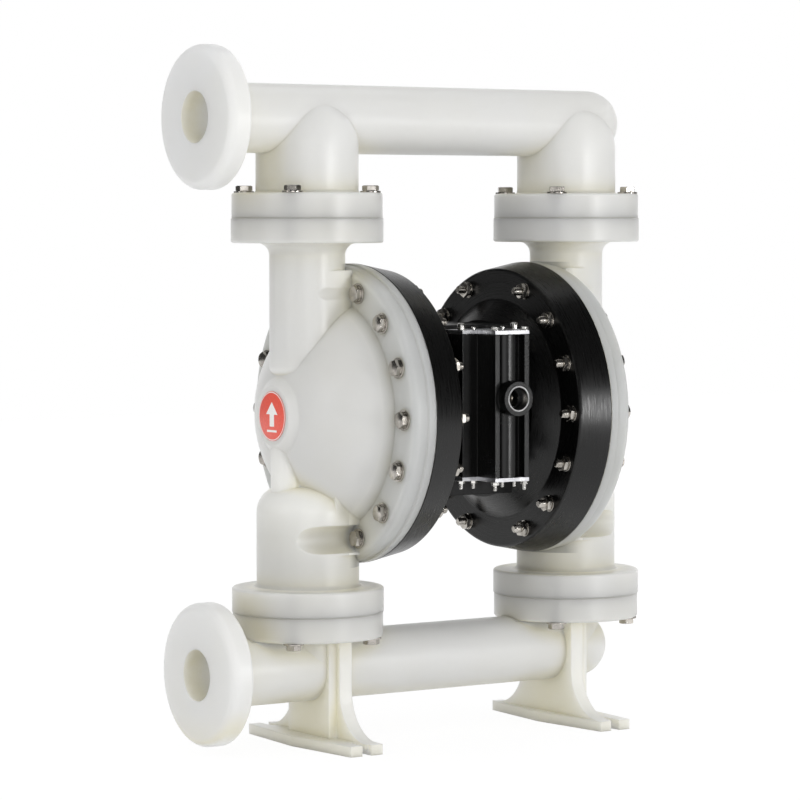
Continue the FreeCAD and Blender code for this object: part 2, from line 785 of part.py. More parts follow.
def air_cap(name, side):
    body = new_body(f"{name}_air_cap")
    place(body, up="axis_height", turn=0 if side > 0 else 180)
    dome_step = "(air_ring_face - hub_face)"
    turned(body, [
        ("hub_face", "bushing_radius"),
        ("hub_face", "hub_radius"),
        ("air_ring_face - rim_rounding", "air_dome_radius - rim_rounding"),
        ("air_ring_face", "air_dome_radius"),
        ("air_ring_face", "air_ring_inner_radius - rim_rounding", "rim_rounding", -1),
        ("air_ring_face + rim_rounding", "air_ring_inner_radius"),
        ("diaphragm_plane", "chamber_radius"),
        ("diaphragm_plane", RIM_RECESS),
        (WASHER_FACE, RIM_RECESS),
        (WASHER_FACE, "chamber_bore_radius"),
        ("air_ring_face + air_cap_wall", f"chamber_bore_radius - {dome_step} / 2"),
        ("hub_face + air_cap_wall", "bowl_floor_radius"),
        ("hub_face + air_cap_wall", "bushing_radius"),
    ])
    holes = new_sketch(body, "YZ_Plane", "air_ring_face")
    ring_of_circles(holes, "bolt_hole_radius", "chamber_bolt_circle", CHAMBER_BOLT_TURNS)
    pocket(body, holes, "diaphragm_plane - air_ring_face", reverse=True)
    pilot = new_sketch(body, "YZ_Plane", "hub_face")
    circle(pilot, "pilot_bushing_radius", f"{side} * -pilot_offset")
    pocket(body, pilot, "air_cap_wall", reverse=True)


# Centre body, valve block and exhaust


def centre_body():
    body = new_body("centre_body")
    place(body, up="axis_height")
    section = new_sketch(body, "YZ_Plane")
    cut = "centre_corner"
    outline(section, [
        (f"-centre_front + {cut}", "-centre_bottom"),
        (f"centre_rear - {cut}", "-centre_bottom"),
        ("centre_rear", f"-centre_bottom + {cut}"),
        ("centre_rear", f"centre_top - {cut}"),
        (f"centre_rear - {cut}", "centre_top"),
        ("-centre_front", "centre_top"),
        ("-centre_front", "-centre_bottom"),
    ])
    pad(body, section, "2 * hub_face", midplane=True)
    bores = new_sketch(body, "YZ_Plane", "-hub_face")
    circle(bores, "bushing_radius")
    circle(bores, "pilot_bushing_radius", "-pilot_offset")
    pocket(body, bores, "2 * hub_face", reverse=True)
    port = new_sketch(body, "XZ_Plane", "-centre_rear")
    box_outline(port, "-exhaust_cover_width / 2 + 2 * exhaust_cover_wall",
                "exhaust_cover_width / 2 - 2 * exhaust_cover_wall",
                "bushing_radius + exhaust_cover_wall",
                "exhaust_cover_height / 2 - 2 * exhaust_cover_wall")
    pocket(body, port, "centre_rear - bushing_radius", reverse=True)
    holes = new_sketch(body, "XZ_Plane", "-centre_rear")
    for spot in EXHAUST_SCREW_SPOTS:
        circle(holes, "cover_screw_radius + thread_gap", *spot)
    pocket(body, holes, "cover_screw_length + screw_hole_extra", reverse=True)


def tee_outline(sketch, front, back, half_front, half_back, step):
    """The valve block's plan: a narrow front and a wide back."""
    outline(sketch, [
        (f"-{half_front}", front),
        (half_front, front),
        (half_front, step),
        (half_back, step),
        (half_back, back),
        (f"-{half_back}", back),
        (f"-{half_back}", step),
        (f"-{half_front}", step),
    ])


def valve_block():
    body = new_body("valve_block")
    place(body, up="axis_height")
    plan = new_sketch(body, "XY_Plane", "-valve_bottom")
    tee_outline(plan, "-valve_front", f"-{BLOCK_BACK}", "valve_width / 2",
                "valve_rear_width / 2", "-valve_step")
    pad(body, plan, "valve_top + valve_bottom")
    recess = new_sketch(body, "XY_Plane", "valve_top")
    box_outline(recess, "-valve_width / 2 + valve_rail", "valve_width / 2 - valve_rail",
                f"-valve_front - {CUT_MARGIN}", "-valve_front + valve_recess_depth")
    pocket(body, recess, "valve_top + valve_bottom")
    barrel = new_sketch(body, "XY_Plane", "-valve_bottom")
    circle(barrel, "valve_barrel_radius", "0", "-spool_offset")
    pad(body, barrel, "valve_top + valve_bottom")
    boss = new_sketch(body, "XZ_Plane", "air_boss_face")
    circle(boss, "air_boss_radius", "0", "air_boss_height")
    pad(body, boss, "air_boss_face - valve_step", reverse=True)
    port = new_sketch(body, "XZ_Plane", "air_boss_face")
    circle(port, "air_ring_radius", "0", "air_boss_height")
    pocket(body, port, "air_ring_depth")
    way = new_sketch(body, "XZ_Plane", "air_boss_face")
    circle(way, "air_way_radius", "0", "air_boss_height")
    pocket(body, way, "air_boss_face - spool_offset")
    bore = new_sketch(body, "XY_Plane", "valve_top")
    circle(bore, "sleeve_radius", "0", "-spool_offset")
    pocket(body, bore, "valve_top + valve_bottom")
    window = new_sketch(body, "XZ_Plane", BLOCK_BACK)
    box_outline(window, "-window_half_width", "window_half_width", "-window_low",
                "window_high")
    pocket(body, window, f"spool_offset - {BLOCK_BACK}", reverse=True)
    block_screw_holes(body)


def valve_cover(label, base, direction):
    """A flat cover that closes the valve block's top or bottom."""
    body = new_body(label)
    place(body, up=f"axis_height + {base}")
    plan = new_sketch(body, "XY_Plane")
    tee_outline(plan, "-valve_front", f"-{BLOCK_BACK}", "valve_width / 2",
                "valve_rear_width / 2", "-valve_step")
    pad(body, plan, "valve_cover_thickness", reverse=direction < 0)
    holes = new_sketch(body, "XY_Plane")
    for spot in COVER_SCREW_SPOTS:
        circle(holes, "cover_screw_radius + screw_clearance", *spot)
    pocket(body, holes, "valve_cover_thickness", reverse=direction > 0)


def block_screw_holes(body):
    """The holes that the cover screws enter, from the top and from the bottom."""
    for face, reverse in (("valve_top", False), ("-valve_bottom", True)):
        holes = new_sketch(body, "XY_Plane", face)
        for spot in COVER_SCREW_SPOTS:
            circle(holes, "cover_screw_radius + thread_gap", *spot)
        pocket(body, holes, "cover_screw_length - valve_cover_thickness + screw_hole_extra",
               reverse)


def valve_gasket():
    body = new_body("valve_gasket")
    place(body, up="axis_height")
    sheet_outline = new_sketch(body, "XZ_Plane", "centre_front")
    box_outline(sheet_outline, "-valve_rear_width / 2", "valve_rear_width / 2",
                "-valve_bottom", "valve_top")
    pad(body, sheet_outline, "gasket_thickness")
    ports = new_sketch(body, "XZ_Plane", BLOCK_BACK)
    for height in ("slide_middle", "slide_middle + spool_travel"):
        circle(ports, "slide_width / 4", "0", height)
    pocket(body, ports, "gasket_thickness")


def valve_plate():
    """The flat plate that the slide runs on, let into the back of the valve block."""
    body = new_body("valve_plate")
    place(body, up="axis_height")
    face = new_sketch(body, "XZ_Plane", BLOCK_BACK)
    box_outline(face, "-window_half_width + slide_gap", "window_half_width - slide_gap",
                "-window_low + slide_gap", "window_high - slide_gap")
    pad(body, face, "plate_thickness")
    ports = new_sketch(body, "XZ_Plane", f"{BLOCK_BACK} + plate_thickness")
    for height in ("slide_middle", "slide_middle + spool_travel"):
        circle(ports, "slide_width / 4", "0", height)
    pocket(body, ports, "plate_thickness")


def valve_sleeve():
    body = new_body("valve_sleeve")
    place(body, north="-spool_offset", up="axis_height")
    tube = new_sketch(body, "XY_Plane", "-valve_bottom")
    circle(tube, "sleeve_radius")
    circle(tube, "spool_radius + running_gap")
    pad(body, tube, "valve_top + valve_bottom")
    window = new_sketch(body, "XZ_Plane")
    box_outline(window, "-slide_width / 2 - slide_gap", "slide_width / 2 + slide_gap",
                "-window_low", "window_high")
    pocket(body, window, f"sleeve_radius + {CUT_MARGIN}")
    inlet = new_sketch(body, "XZ_Plane")
    circle(inlet, "air_way_radius / 2", "0", "air_boss_height")
    pocket(body, inlet, f"sleeve_radius + {CUT_MARGIN}", reverse=True)


SPOOL_LENGTH = "(valve_top + valve_bottom - spool_travel - 2 * spool_end_gap)"
SPOOL_LANDS = (
    ("0", "spool_land_length"),
    (f"({SLIDE_FOOT} - spool_land_length)", SLIDE_FOOT),
    (f"({SLIDE_FOOT} + slide_length)", f"({SLIDE_FOOT} + slide_length + spool_land_length)"),
    (f"({SPOOL_LENGTH} - spool_land_length)", SPOOL_LENGTH),
)


def main_spool():
    """The spool stands on the bottom cover; its lands carry the slide between them."""
    body = new_body("main_spool")
    place(body, north="-spool_offset", up="axis_height - valve_bottom + spool_end_gap")
    profile = [("0", "0")]
    for index, (low, high) in enumerate(SPOOL_LANDS):
        profile.append(("spool_radius", low))
        if index in (0, 3):
            middle = f"({low} + {high}) / 2"
            inner = "spool_radius - seal_groove"
            profile.append(("spool_radius", f"{middle} - seal_width / 2"))
            profile.append((inner, f"{middle} - seal_width / 2"))
            profile.append((inner, f"{middle} + seal_width / 2"))
            profile.append(("spool_radius", f"{middle} + seal_width / 2"))
        profile.append(("spool_radius", high))
        if index < 3:
            profile.append(("spool_waist_radius", high))
            profile.append(("spool_waist_radius", SPOOL_LANDS[index + 1][0]))
    profile.append(("0", SPOOL_LENGTH))
    turned(body, profile, across="0")


def spool_seals():
    """A seal ring in the groove of each end land."""
    rings = []
    for low, high in (SPOOL_LANDS[0], SPOOL_LANDS[3]):
        ring = tube_piece("spool_seal_ring", "spool_radius",
                          "spool_radius - seal_groove + 0.01", "seal_width - 0.02")
        place(ring, north="-spool_offset",
              up="axis_height - valve_bottom + spool_end_gap + "
                 f"({low} + {high}) / 2 - seal_width / 2 + 0.01")
        rings.append(ring)
    group_of("spool_seals", rings)


def valve_slide():
    """The block between the spool's middle lands, which uncovers the ports in the plate."""
    body = new_body("valve_slide")
    place(body, up="axis_height + slide_middle - slide_length / 2")
    plan = new_sketch(body, "XY_Plane")
    front = "(-spool_offset + spool_waist_radius + slide_gap)"
    back = f"(-{BLOCK_BACK} - plate_thickness - slide_gap)"
    box_outline(plan, "-slide_width / 2", "slide_width / 2", front, back)
    pad(body, plan, "slide_length")
    hollow = new_sketch(body, "XZ_Plane", f"-{back}")
    box_outline(hollow, "-slide_width / 2 + slide_wall", "slide_width / 2 - slide_wall",
                "slide_wall", "slide_length - slide_wall")
    pocket(body, hollow, "slide_hollow_depth", reverse=True)


def tube_piece(label, outer, inner, length):
    """A plain ring or tube that stands on the plane z = 0."""
    body = doc.addObject("PartDesign::Body", label)
    section = new_sketch(body, "XY_Plane")
    circle(section, outer)
    circle(section, inner)
    pad(body, section, length)
    return body


def group_of(label, pieces):
    group = doc.addObject("Part::Compound", label)
    group.Links = pieces
    return keep(group, label)


def air_inlet_ring():
    ring = keep(tube_piece("air_inlet_ring", "air_ring_radius", "air_port_radius",
                           "air_ring_depth"), "air_inlet_ring")
    place(ring, north="-air_boss_face", up="axis_height + air_boss_height", turn=-QUARTER_TURN,
          axis=(1, 0, 0))


def exhaust_cover():
    body = new_body("exhaust_cover")
    place(body, north="centre_rear", up="axis_height")
    face = new_sketch(body, "XZ_Plane")
    half_wide = "exhaust_cover_width / 2"
    half_high = "exhaust_cover_height / 2"
    box_outline(face, f"-{half_wide}", half_wide, f"-{half_high}", half_high)
    pad(body, face, "exhaust_cover_depth", reverse=True)
    boss = new_sketch(body, "XZ_Plane", "-exhaust_cover_depth")
    circle(boss, "exhaust_boss_radius", "0", "exhaust_port_height")
    pad(body, boss, "exhaust_boss_length", reverse=True)
    hollow = new_sketch(body, "XZ_Plane")
    rim = "2 * exhaust_cover_wall"
    box_outline(hollow, f"-{half_wide} + {rim}", f"{half_wide} - {rim}",
                f"-{half_high} + {rim}", f"{half_high} - {rim}")
    pocket(body, hollow, "exhaust_cover_depth - exhaust_cover_wall", reverse=False)
    port = new_sketch(body, "XZ_Plane")
    circle(port, "exhaust_port_radius + thread_gap", "0", "exhaust_port_height")
    pocket(body, port, "exhaust_cover_depth + exhaust_boss_length", reverse=False)
    holes = new_sketch(body, "XZ_Plane")
    for spot in EXHAUST_SCREW_SPOTS:
        circle(holes, "cover_screw_radius + screw_clearance", *spot)
    pocket(body, holes, "exhaust_cover_depth", reverse=False)


def muffler():
    """A moulded silencer that screws into the exhaust cover; rings run round its barrel."""
    body = new_body("muffler")
    place(body, north="centre_rear + exhaust_cover_depth + exhaust_boss_length",
          up="axis_height + exhaust_port_height", turn=-QUARTER_TURN, axis=(1, 0, 0))
    thread = "exhaust_boss_length + exhaust_cover_wall"
    profile = [("0", f"-({thread})"), ("exhaust_port_radius", f"-({thread})"),
               ("exhaust_port_radius", "0"), ("muffler_radius", "0")]
    for ring in range(1, 5):
        low = f"muffler_length * {ring} / 5 - muffler_groove / 2"
        high = f"muffler_length * {ring} / 5 + muffler_groove / 2"
        profile += [("muffler_radius", low), ("muffler_radius - muffler_groove / 2", low),
                    ("muffler_radius - muffler_groove / 2", high), ("muffler_radius", high)]
    profile += [("muffler_radius", "muffler_length - muffler_shoulder", "muffler_shoulder", 1),
                ("muffler_radius - muffler_shoulder", "muffler_length"),
                ("0", "muffler_length")]
    turned(body, profile, across="0")


# Rod, diaphragms and pilot rod


def diaphragm_rod():
    body = new_body("diaphragm_rod")
    place(body, up="axis_height")
    section = new_sketch(body, "YZ_Plane")
    circle(section, "rod_radius")
    pad(body, section, f"2 * {ROD_END}", midplane=True)
    for role_offset, reverse in ((ROD_END, False), (f"-{ROD_END}", True)):
        hole = new_sketch(body, "YZ_Plane", role_offset)
        circle(hole, "screw_radius + thread_gap")
        pocket(body, hole, "screw_thread_length + 2", reverse)


def rod_supports(name, side):
    bushing = tube_piece(f"{name}_rod_bushing", "bushing_radius", "rod_radius + running_gap",
                         "bushing_length")
    place(bushing, east=f"{side} * (hub_face + air_cap_wall - bushing_length - rod_seal_width)",
          up="axis_height", turn=QUARTER_TURN * side, axis=(0, 1, 0))
    keep(bushing, f"{name}_rod_bushing")
    seal = tube_piece(f"{name}_rod_seal", "bushing_radius", "rod_radius + running_gap",
                      "rod_seal_width")
    place(seal, east=f"{side} * (hub_face + air_cap_wall - rod_seal_width)",
          up="axis_height", turn=QUARTER_TURN * side, axis=(0, 1, 0))
    keep(seal, f"{name}_rod_seal")
    guide = tube_piece(f"{name}_pilot_bushing", "pilot_bushing_radius",
                       "pilot_radius + running_gap", "bushing_length")
    place(guide, east=f"{side} * (hub_face + air_cap_wall - bushing_length)",
          north="-pilot_offset", up="axis_height", turn=QUARTER_TURN * side, axis=(0, 1, 0))
    keep(guide, f"{name}_pilot_bushing")


def pilot_rod():
    body = new_body("pilot_rod")
    place(body, north="-pilot_offset", up="axis_height")
    section = new_sketch(body, "YZ_Plane")
    circle(section, "pilot_radius")
    pad(body, section, f"2 * {PILOT_END}", midplane=True)


def diaphragm(name, side):
    """A moulded disc with one rolled convolution, clamped at its rim and at its middle."""
    body = new_body(f"{name}_diaphragm")
    place(body, up="axis_height", turn=0 if side > 0 else 180)
    chord = "(roll_outer_radius - roll_inner_radius)"
    roll = f"(({chord} / 2) ^ 2 + diaphragm_roll ^ 2) / (2 * diaphragm_roll)"
    turned(body, [
        (WASHER_FACE, "screw_radius + screw_clearance"),
        (WASHER_FACE, "roll_inner_radius", roll, -1),
        (WASHER_FACE, "roll_outer_radius"),
        (WASHER_FACE, "diaphragm_rim_radius"),
        (OUTER_FACE, "diaphragm_rim_radius"),
        (OUTER_FACE, "roll_outer_radius", roll, 1),
        (OUTER_FACE, "roll_inner_radius"),
        (OUTER_FACE, "screw_radius + screw_clearance"),
    ])


def diaphragm_washers(name, side):
    turn = 0 if side > 0 else 180
    hole = "screw_radius + screw_clearance"
    land = "pilot_offset + pilot_radius + washer_land"
    inner = new_body(f"{name}_inner_washer")
    place(inner, up="axis_height", turn=turn)
    turned(inner, [
        (ROD_END, hole),
        (ROD_END, land),
        (f"{WASHER_FACE} - washer_edge", "washer_radius"),
        (WASHER_FACE, "washer_radius"),
        (WASHER_FACE, hole),
    ])
    outer = new_body(f"{name}_outer_washer")
    place(outer, up="axis_height", turn=turn)
    turned(outer, [
        (OUTER_FACE, hole),
        (OUTER_FACE, "washer_radius"),
        (f"{OUTER_FACE} + washer_edge", "washer_radius"),
        (f"{OUTER_FACE} + outer_washer_thickness", "washer_radius / 2"),
        (f"{OUTER_FACE} + outer_washer_thickness", hole),
    ])


def hexagon(sketch, corner_radius):
    corners = []
    for step in range(6):
        angle = 60 * step
        corners.append((f"{corner_radius} * cos({angle} deg)",
                        f"{corner_radius} * sin({angle} deg)"))
    outline(sketch, corners)


def headed_screw(label, head_radius, head_height, shank_radius, length, washer=False,
                 tip=None):
    """An upright screw: its seat lies at z = 0 and its shank points down. With a tip it is
    a stud that stands out of its nut."""
    body = doc.addObject("PartDesign::Body", label)
    shank = new_sketch(body, "XY_Plane")
    circle(shank, shank_radius)
    pad(body, shank, length, reverse=True)
    base = "0"
    if washer:
        disc = new_sketch(body, "XY_Plane")
        circle(disc, "flat_washer_radius")
        pad(body, disc, "flat_washer_thickness")
        base = "flat_washer_thickness"
    head = new_sketch(body, "XY_Plane", base)
    hexagon(head, head_radius)
    pad(body, head, head_height)
    if tip:
        end = new_sketch(body, "XY_Plane", head_height)
        circle(end, shank_radius)
        pad(body, end, tip)
    return body


def diaphragm_screw(name, side):
    seat = f"({OUTER_FACE} + outer_washer_thickness)"
    screw = headed_screw(f"{name}_diaphragm_screw", "screw_head_radius", "screw_head_height",
                         "screw_radius", f"{seat} - {ROD_END} + screw_thread_length")
    place(screw, east=f"{side} * {seat}", up="axis_height", turn=QUARTER_TURN * side, axis=(0, 1, 0))
    keep(screw, f"{name}_diaphragm_screw")


# Check valves


def check_valve(level, name, side, joint):
    """One seat and its ball; the seat stands in its recess and the ball rests on its edge."""
    seat = new_body(f"{level}_seat_{name}")
    place(seat, east=f"{side} * leg_offset", up=f"axis_height + {joint}")
    turned(seat, [
        ("seat_bore_radius", "-seat_recess_depth"),
        ("seat_radius", "-seat_recess_depth"),
        ("seat_radius", "seat_rise"),
        ("seat_cone_radius", "seat_rise"),
        ("seat_bore_radius", SEAT_EDGE),
    ], across="0")
    ball = keep(doc.addObject("Part::Sphere", f"{level}_ball_{name}"), f"{level}_ball_{name}")
    bind(ball, "Radius", "ball_radius")
    place(ball, east=f"{side} * leg_offset", up=f"axis_height + {joint} + {BALL_CENTRE}")


def seat_rings():
    """A square ring between each seat and the wall of the cage above it."""
    rings = []
    for side in SIDES.values():
        for joint in ("-joint_span", "joint_span"):
            ring = tube_piece("seat_ring", "cage_bore_radius - oring_gap",
                              "seat_radius + oring_gap", "seat_rise")
            place(ring, east=f"{side} * leg_offset", up=f"axis_height + {joint}")
            rings.append(ring)
    group_of("seat_rings", rings)


# Fasteners


def chamber_places(face, side, turn):
    """Where the bolts of one chamber stand, at a distance out along the axis."""
    return [
        {
            "east": f"{side} * {face}",
            "north": f"chamber_bolt_circle * cos({angle} deg)",
            "up": f"axis_height + chamber_bolt_circle * sin({angle} deg)",
            "turn": turn,
            "axis": (0, 1, 0),
        }
        for angle in CHAMBER_BOLT_TURNS
    ]


def joint_places(level, turn):
    """Where the bolts of both manifold joints of one level stand."""
    return [
        {
            "east": f"{side} * leg_offset + joint_bolt_circle * cos({angle} deg)",
            "north": f"joint_bolt_circle * sin({angle} deg)",
            "up": f"axis_height + {level} * (joint_span + manifold_flange_thickness)",
            "turn": turn,
            "axis": (1, 0, 0),
        }
        for side in SIDES.values()
        for angle in JOINT_BOLT_ANGLES
    ]


def chamber_fasteners():
    grip = "cap_outer_face - air_ring_face + bolt_tip"
    bolt = headed_screw("chamber_bolt", "bolt_head_radius", "bolt_head_height", "bolt_radius",
                        grip, washer=True)
    nut = doc.addObject("PartDesign::Body", "chamber_nut")
    section = new_sketch(nut, "XY_Plane")
    hexagon(section, "bolt_head_radius")
    circle(section, "bolt_radius + thread_gap")
    pad(nut, section, "nut_height")
    for name, side in SIDES.items():
        copies(f"{name}_cap_bolts", bolt, chamber_places("cap_outer_face", side, QUARTER_TURN * side))
        copies(f"{name}_cap_nuts", nut, chamber_places("air_ring_face", side, -QUARTER_TURN * side))


def joint_fasteners():
    bolt = headed_screw("joint_bolt", "bolt_head_radius", "bolt_head_height", "bolt_radius",
                        "manifold_flange_thickness + joint_bolt_reach", washer=True)
    copies("upper_manifold_bolts", bolt, joint_places(1, 0))
    copies("lower_manifold_bolts", bolt, joint_places(-1, 2 * QUARTER_TURN))


# The cover screws stand in the front rails and in a row across the wide back
COVER_SCREW_SPOTS = [
    (f"{hand} * {across}", along)
    for hand in (-1, 1)
    for across, along in (
        ("(valve_width / 2 - valve_rail / 2)", "-valve_front + 2 * cover_screw_radius"),
        ("(valve_width / 2 - valve_rail / 2)", "-valve_step + cover_screw_row"),
        ("(valve_rear_width / 2 - cover_screw_inset)", "-valve_step + cover_screw_row"),
    )
]
EXHAUST_SCREW_SPOTS = [
    (f"{hand} * (exhaust_cover_width / 2 - exhaust_screw_inset)",
     f"{level} * (exhaust_cover_height / 2 - exhaust_screw_inset)")
    for hand in (-1, 1)
    for level in (-1, 1)
]


def small_screws():
    screw = headed_screw("cover_screw", "cover_screw_head_radius", "cover_screw_head_height",
                         "cover_screw_radius", "cover_screw_length")
    stud = headed_screw("cover_stud", "cover_screw_head_radius", "cover_screw_head_height",
                        "cover_screw_radius", "cover_screw_length", tip="cover_stud_tip")
    for label, piece, face, turn in (
        ("valve_top_screws", screw, "(valve_top + valve_cover_thickness)", 0),
        ("valve_bottom_screws", stud, "(-valve_bottom - valve_cover_thickness)",
         2 * QUARTER_TURN),
    ):
        places = [
            {"east": east, "north": north, "up": f"axis_height + {face}", "turn": turn,
             "axis": (0, 1, 0)}
            for east, north in COVER_SCREW_SPOTS
        ]
        copies(label, piece, places)
    long_screw = headed_screw("exhaust_screw", "cover_screw_head_radius",
                              "cover_screw_head_height", "cover_screw_radius",
                              "cover_screw_length + exhaust_cover_depth")
    places = [
        {"east": east, "north": "centre_rear + exhaust_cover_depth",
         "up": f"axis_height + {up}", "turn": -QUARTER_TURN, "axis": (1, 0, 0)}
        for east, up in EXHAUST_SCREW_SPOTS
    ]
    copies("exhaust_screws", long_screw, places)


def cap_label():
    """A plain round disc on the pad of the left fluid cap."""
    disc = keep(doc.addObject("Part::Cylinder", "cap_label"), "cap_label")
    bind(disc, "Radius", "label_radius")
    bind(disc, "Height", "label_thickness")
    place(disc, east="-label_pad_face", up="axis_height", turn=-QUARTER_TURN, axis=(0, 1, 0))


def build_pump():
    outlet_manifold()
    inlet_manifold()
    for name, side in SIDES.items():
        fluid_cap(name, side)
        air_cap(name, side)
        rod_supports(name, side)
        diaphragm(name, side)
        diaphragm_washers(name, side)
        diaphragm_screw(name, side)
        for level, joint in (("inlet", "-joint_span"), ("outlet", "joint_span")):
            check_valve(level, name, side, joint)
    seat_rings()
    centre_body()
    valve_block()
    valve_cover("valve_top_cover", "valve_top", 1)
    valve_cover("valve_bottom_cover", "-valve_bottom", -1)
    valve_gasket()
    valve_plate()
    valve_sleeve()
    main_spool()
    spool_seals()
    valve_slide()
    air_inlet_ring()
    exhaust_cover()
    muffler()
    diaphragm_rod()
    pilot_rod()
    chamber_fasteners()
    joint_fasteners()
    small_screws()
    cap_label()


def check_document():
    """Stop if any object failed or any kept shape is missing or broken."""
    for thing in doc.Objects:
        if "Invalid" in thing.State or "Error" in thing.State:
            raise RuntimeError(f"{thing.Label} failed: {thing.State}")
    for thing in nodes:
        if thing.Shape.isNull() or not thing.Shape.isValid():
            raise RuntimeError(f"{thing.Label} has no valid shape")


def write_parts():
    os.makedirs("parts", exist_ok=True)
    for thing in nodes:
        thing.Shape.exportStep(os.path.join("parts", thing.Label + ".step"))


fill_sheet()
build_pump()
doc.recompute()
check_document()
write_parts()
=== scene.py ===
"""Looks of the air operated diaphragm pump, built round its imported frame. Lengths are in metres."""

import math
import random

import bmesh
import bpy
from mathutils import Matrix, Vector
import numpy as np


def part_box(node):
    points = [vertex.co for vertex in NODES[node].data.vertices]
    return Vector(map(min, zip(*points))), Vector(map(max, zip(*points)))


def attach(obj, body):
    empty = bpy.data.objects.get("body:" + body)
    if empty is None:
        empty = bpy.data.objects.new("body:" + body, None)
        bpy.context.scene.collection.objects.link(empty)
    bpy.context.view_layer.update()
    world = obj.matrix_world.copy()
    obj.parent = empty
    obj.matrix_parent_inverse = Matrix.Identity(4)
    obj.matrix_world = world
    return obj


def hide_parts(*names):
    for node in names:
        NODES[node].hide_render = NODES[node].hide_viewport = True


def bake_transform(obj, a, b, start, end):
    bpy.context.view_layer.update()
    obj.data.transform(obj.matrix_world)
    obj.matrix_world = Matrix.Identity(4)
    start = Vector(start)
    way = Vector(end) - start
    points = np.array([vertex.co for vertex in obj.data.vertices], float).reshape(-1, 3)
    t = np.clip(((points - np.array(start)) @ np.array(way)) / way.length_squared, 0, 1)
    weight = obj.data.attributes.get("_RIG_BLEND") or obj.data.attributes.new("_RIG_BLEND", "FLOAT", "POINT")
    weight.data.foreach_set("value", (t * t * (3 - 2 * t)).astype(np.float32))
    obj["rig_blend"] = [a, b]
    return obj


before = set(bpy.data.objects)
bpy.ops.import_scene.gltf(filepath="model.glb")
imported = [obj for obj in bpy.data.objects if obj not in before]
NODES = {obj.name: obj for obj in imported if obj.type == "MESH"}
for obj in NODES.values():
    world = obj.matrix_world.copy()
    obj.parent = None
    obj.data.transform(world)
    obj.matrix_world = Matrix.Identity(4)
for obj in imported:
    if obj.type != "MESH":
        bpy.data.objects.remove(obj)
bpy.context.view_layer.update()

# Driving sizes, the same as the solids have
SIDES = {"left": -1, "right": 1}
AXIS_HEIGHT = 0.3851
JOINT_SPAN = 0.2280
LEG_OFFSET = 0.1863
CHAMBER_BOLT_CIRCLE = 0.1528
CAP_OUTER_FACE = 0.1534
AIR_RING_FACE = 0.0827
BOLT_TURNS = [22.5 * step for step in range(16) if step not in (4, 12)]
JOINT_TURNS = (45, 135, 225, 315)
JOINT_BOLT_CIRCLE = 0.075

HEAD_CORNER = 0.0098
HEAD_HEIGHT = 0.0064
HEAD_GAP = 0.0005
WASHER_RADIUS = 0.0120
WASHER_THICKNESS = 0.0020
WASHER_EDGE = 0.0003
FLAT_WASHER = 0.0016
SPRING_WASHER = 0.0020
SHANK_RADIUS = 0.0050
THREAD_PITCH = 0.0015
NUT_HEIGHT = 0.0084
BOLT_TIP = 0.0174

COVER_TOP = 0.0985
COVER_BOTTOM = 0.0765
COVER_FRONT_ROW = -0.1430
COVER_BACK_ROW = -0.0990
COVER_NEAR_SCREW = 0.02075
COVER_FAR_SCREW = 0.0380
COVER_HEAD_CORNER = 0.0046
COVER_WASHER_RADIUS = 0.0050
COVER_WASHER_BORE = 0.0020
CAP_NUT_PROFILE = [
    (0.0044, 0.0), (0.0044, 0.0060), (0.0040, 0.0072), (0.0028, 0.0079), (0, 0.0081),
]
PLUG_PROFILE = [(0.0027, 0.0), (0.0027, 0.0026), (0.0020, 0.0034), (0, 0.0036)]

DIAPHRAGM_PLANE = 0.1234
DIAPHRAGM_THICKNESS = 0.0060
DIAPHRAGM_HOLE = 0.0083
DIAPHRAGM_RIM = 0.1440
DIAPHRAGM_ROLL = 0.0140
DIAPHRAGM_ROLL_START = 0.0620
DIAPHRAGM_ROLL_SPAN = 0.0620

LABEL_PAD_FACE = 0.2345
LABEL_RADIUS = 0.0287
LABEL_THICKNESS = 0.0006
LABEL_RIM = (0.0006, 0.0016)
ARROW_TIP = 0.0165
ARROW_SHOULDER = 0.0020
ARROW_FOOT = -0.0120
ARROW_HALF_HEAD = 0.0125
ARROW_HALF_STEM = 0.0048
BAR_LOW, BAR_HIGH, BAR_HALF = -0.0185, -0.0160, 0.0105

# Colours of the unpigmented plastic: its own cloudy light and milky tones, then painted shade, warmer, where
# it is shut in, and a painted glow, lighter, deep in a bore
NATURAL_LIGHT = (0.805, 0.805, 0.780)
NATURAL_MILKY = (0.785, 0.778, 0.725)
NATURAL_PAINTED_SHADE = (0.815, 0.775, 0.610)
NATURAL_PAINTED_BORE_GLOW = (0.940, 0.940, 0.900)

# Painted shade: where each zone is darkened and by how much; distances in metres, with the share of the
# shade colour at each
RING_PAINTED_SHADE = (0.57, 0.58, 0.60)
RING_BAND = ((0.1000, 0.0), (0.1225, 1.0), (0.15125, 1.0), (0.1650, 0.0))
RING_REACH = 0.1755
FLANGE_PAINTED_SHADE = (0.73, 0.73, 0.74)
FLANGE_BAND = ((0.064, 0.0), (0.078, 1.0), (0.090, 1.0), (0.092, 0.0))
FLANGE_REACH = 0.0305
LEG_PAINTED_SHADE = (0.80, 0.80, 0.80)
LEG_BAND = ((0.0875, 0.0), (0.1375, 1.0), (0.220, 1.0), (0.230, 0.0))
LEG_REACH = 0.0625
PORT_PAINTED_SHADE = (0.89, 0.895, 0.93)
PORT_BAND = ((0.280, 0.0), (0.310, 1.0))

# Where the backdrop stands; the dim room beside it and behind the camera shows only in gloss
BACKDROP_WAY = (0.555, 0.832, 0.0)
BACKDROP_EDGE, BACKDROP_FULL = 0.68, 0.92
DIM_ROOM = 0.05
AMBIENT = 0.82
FLOOR_SIZE = 6.0
FLOOR_DROP = 0.0004
FLOOR_COLOUR = 0.86
FLOOR_GLOW = 1.06
FLOOR_GLOW_SHARE = 0.86

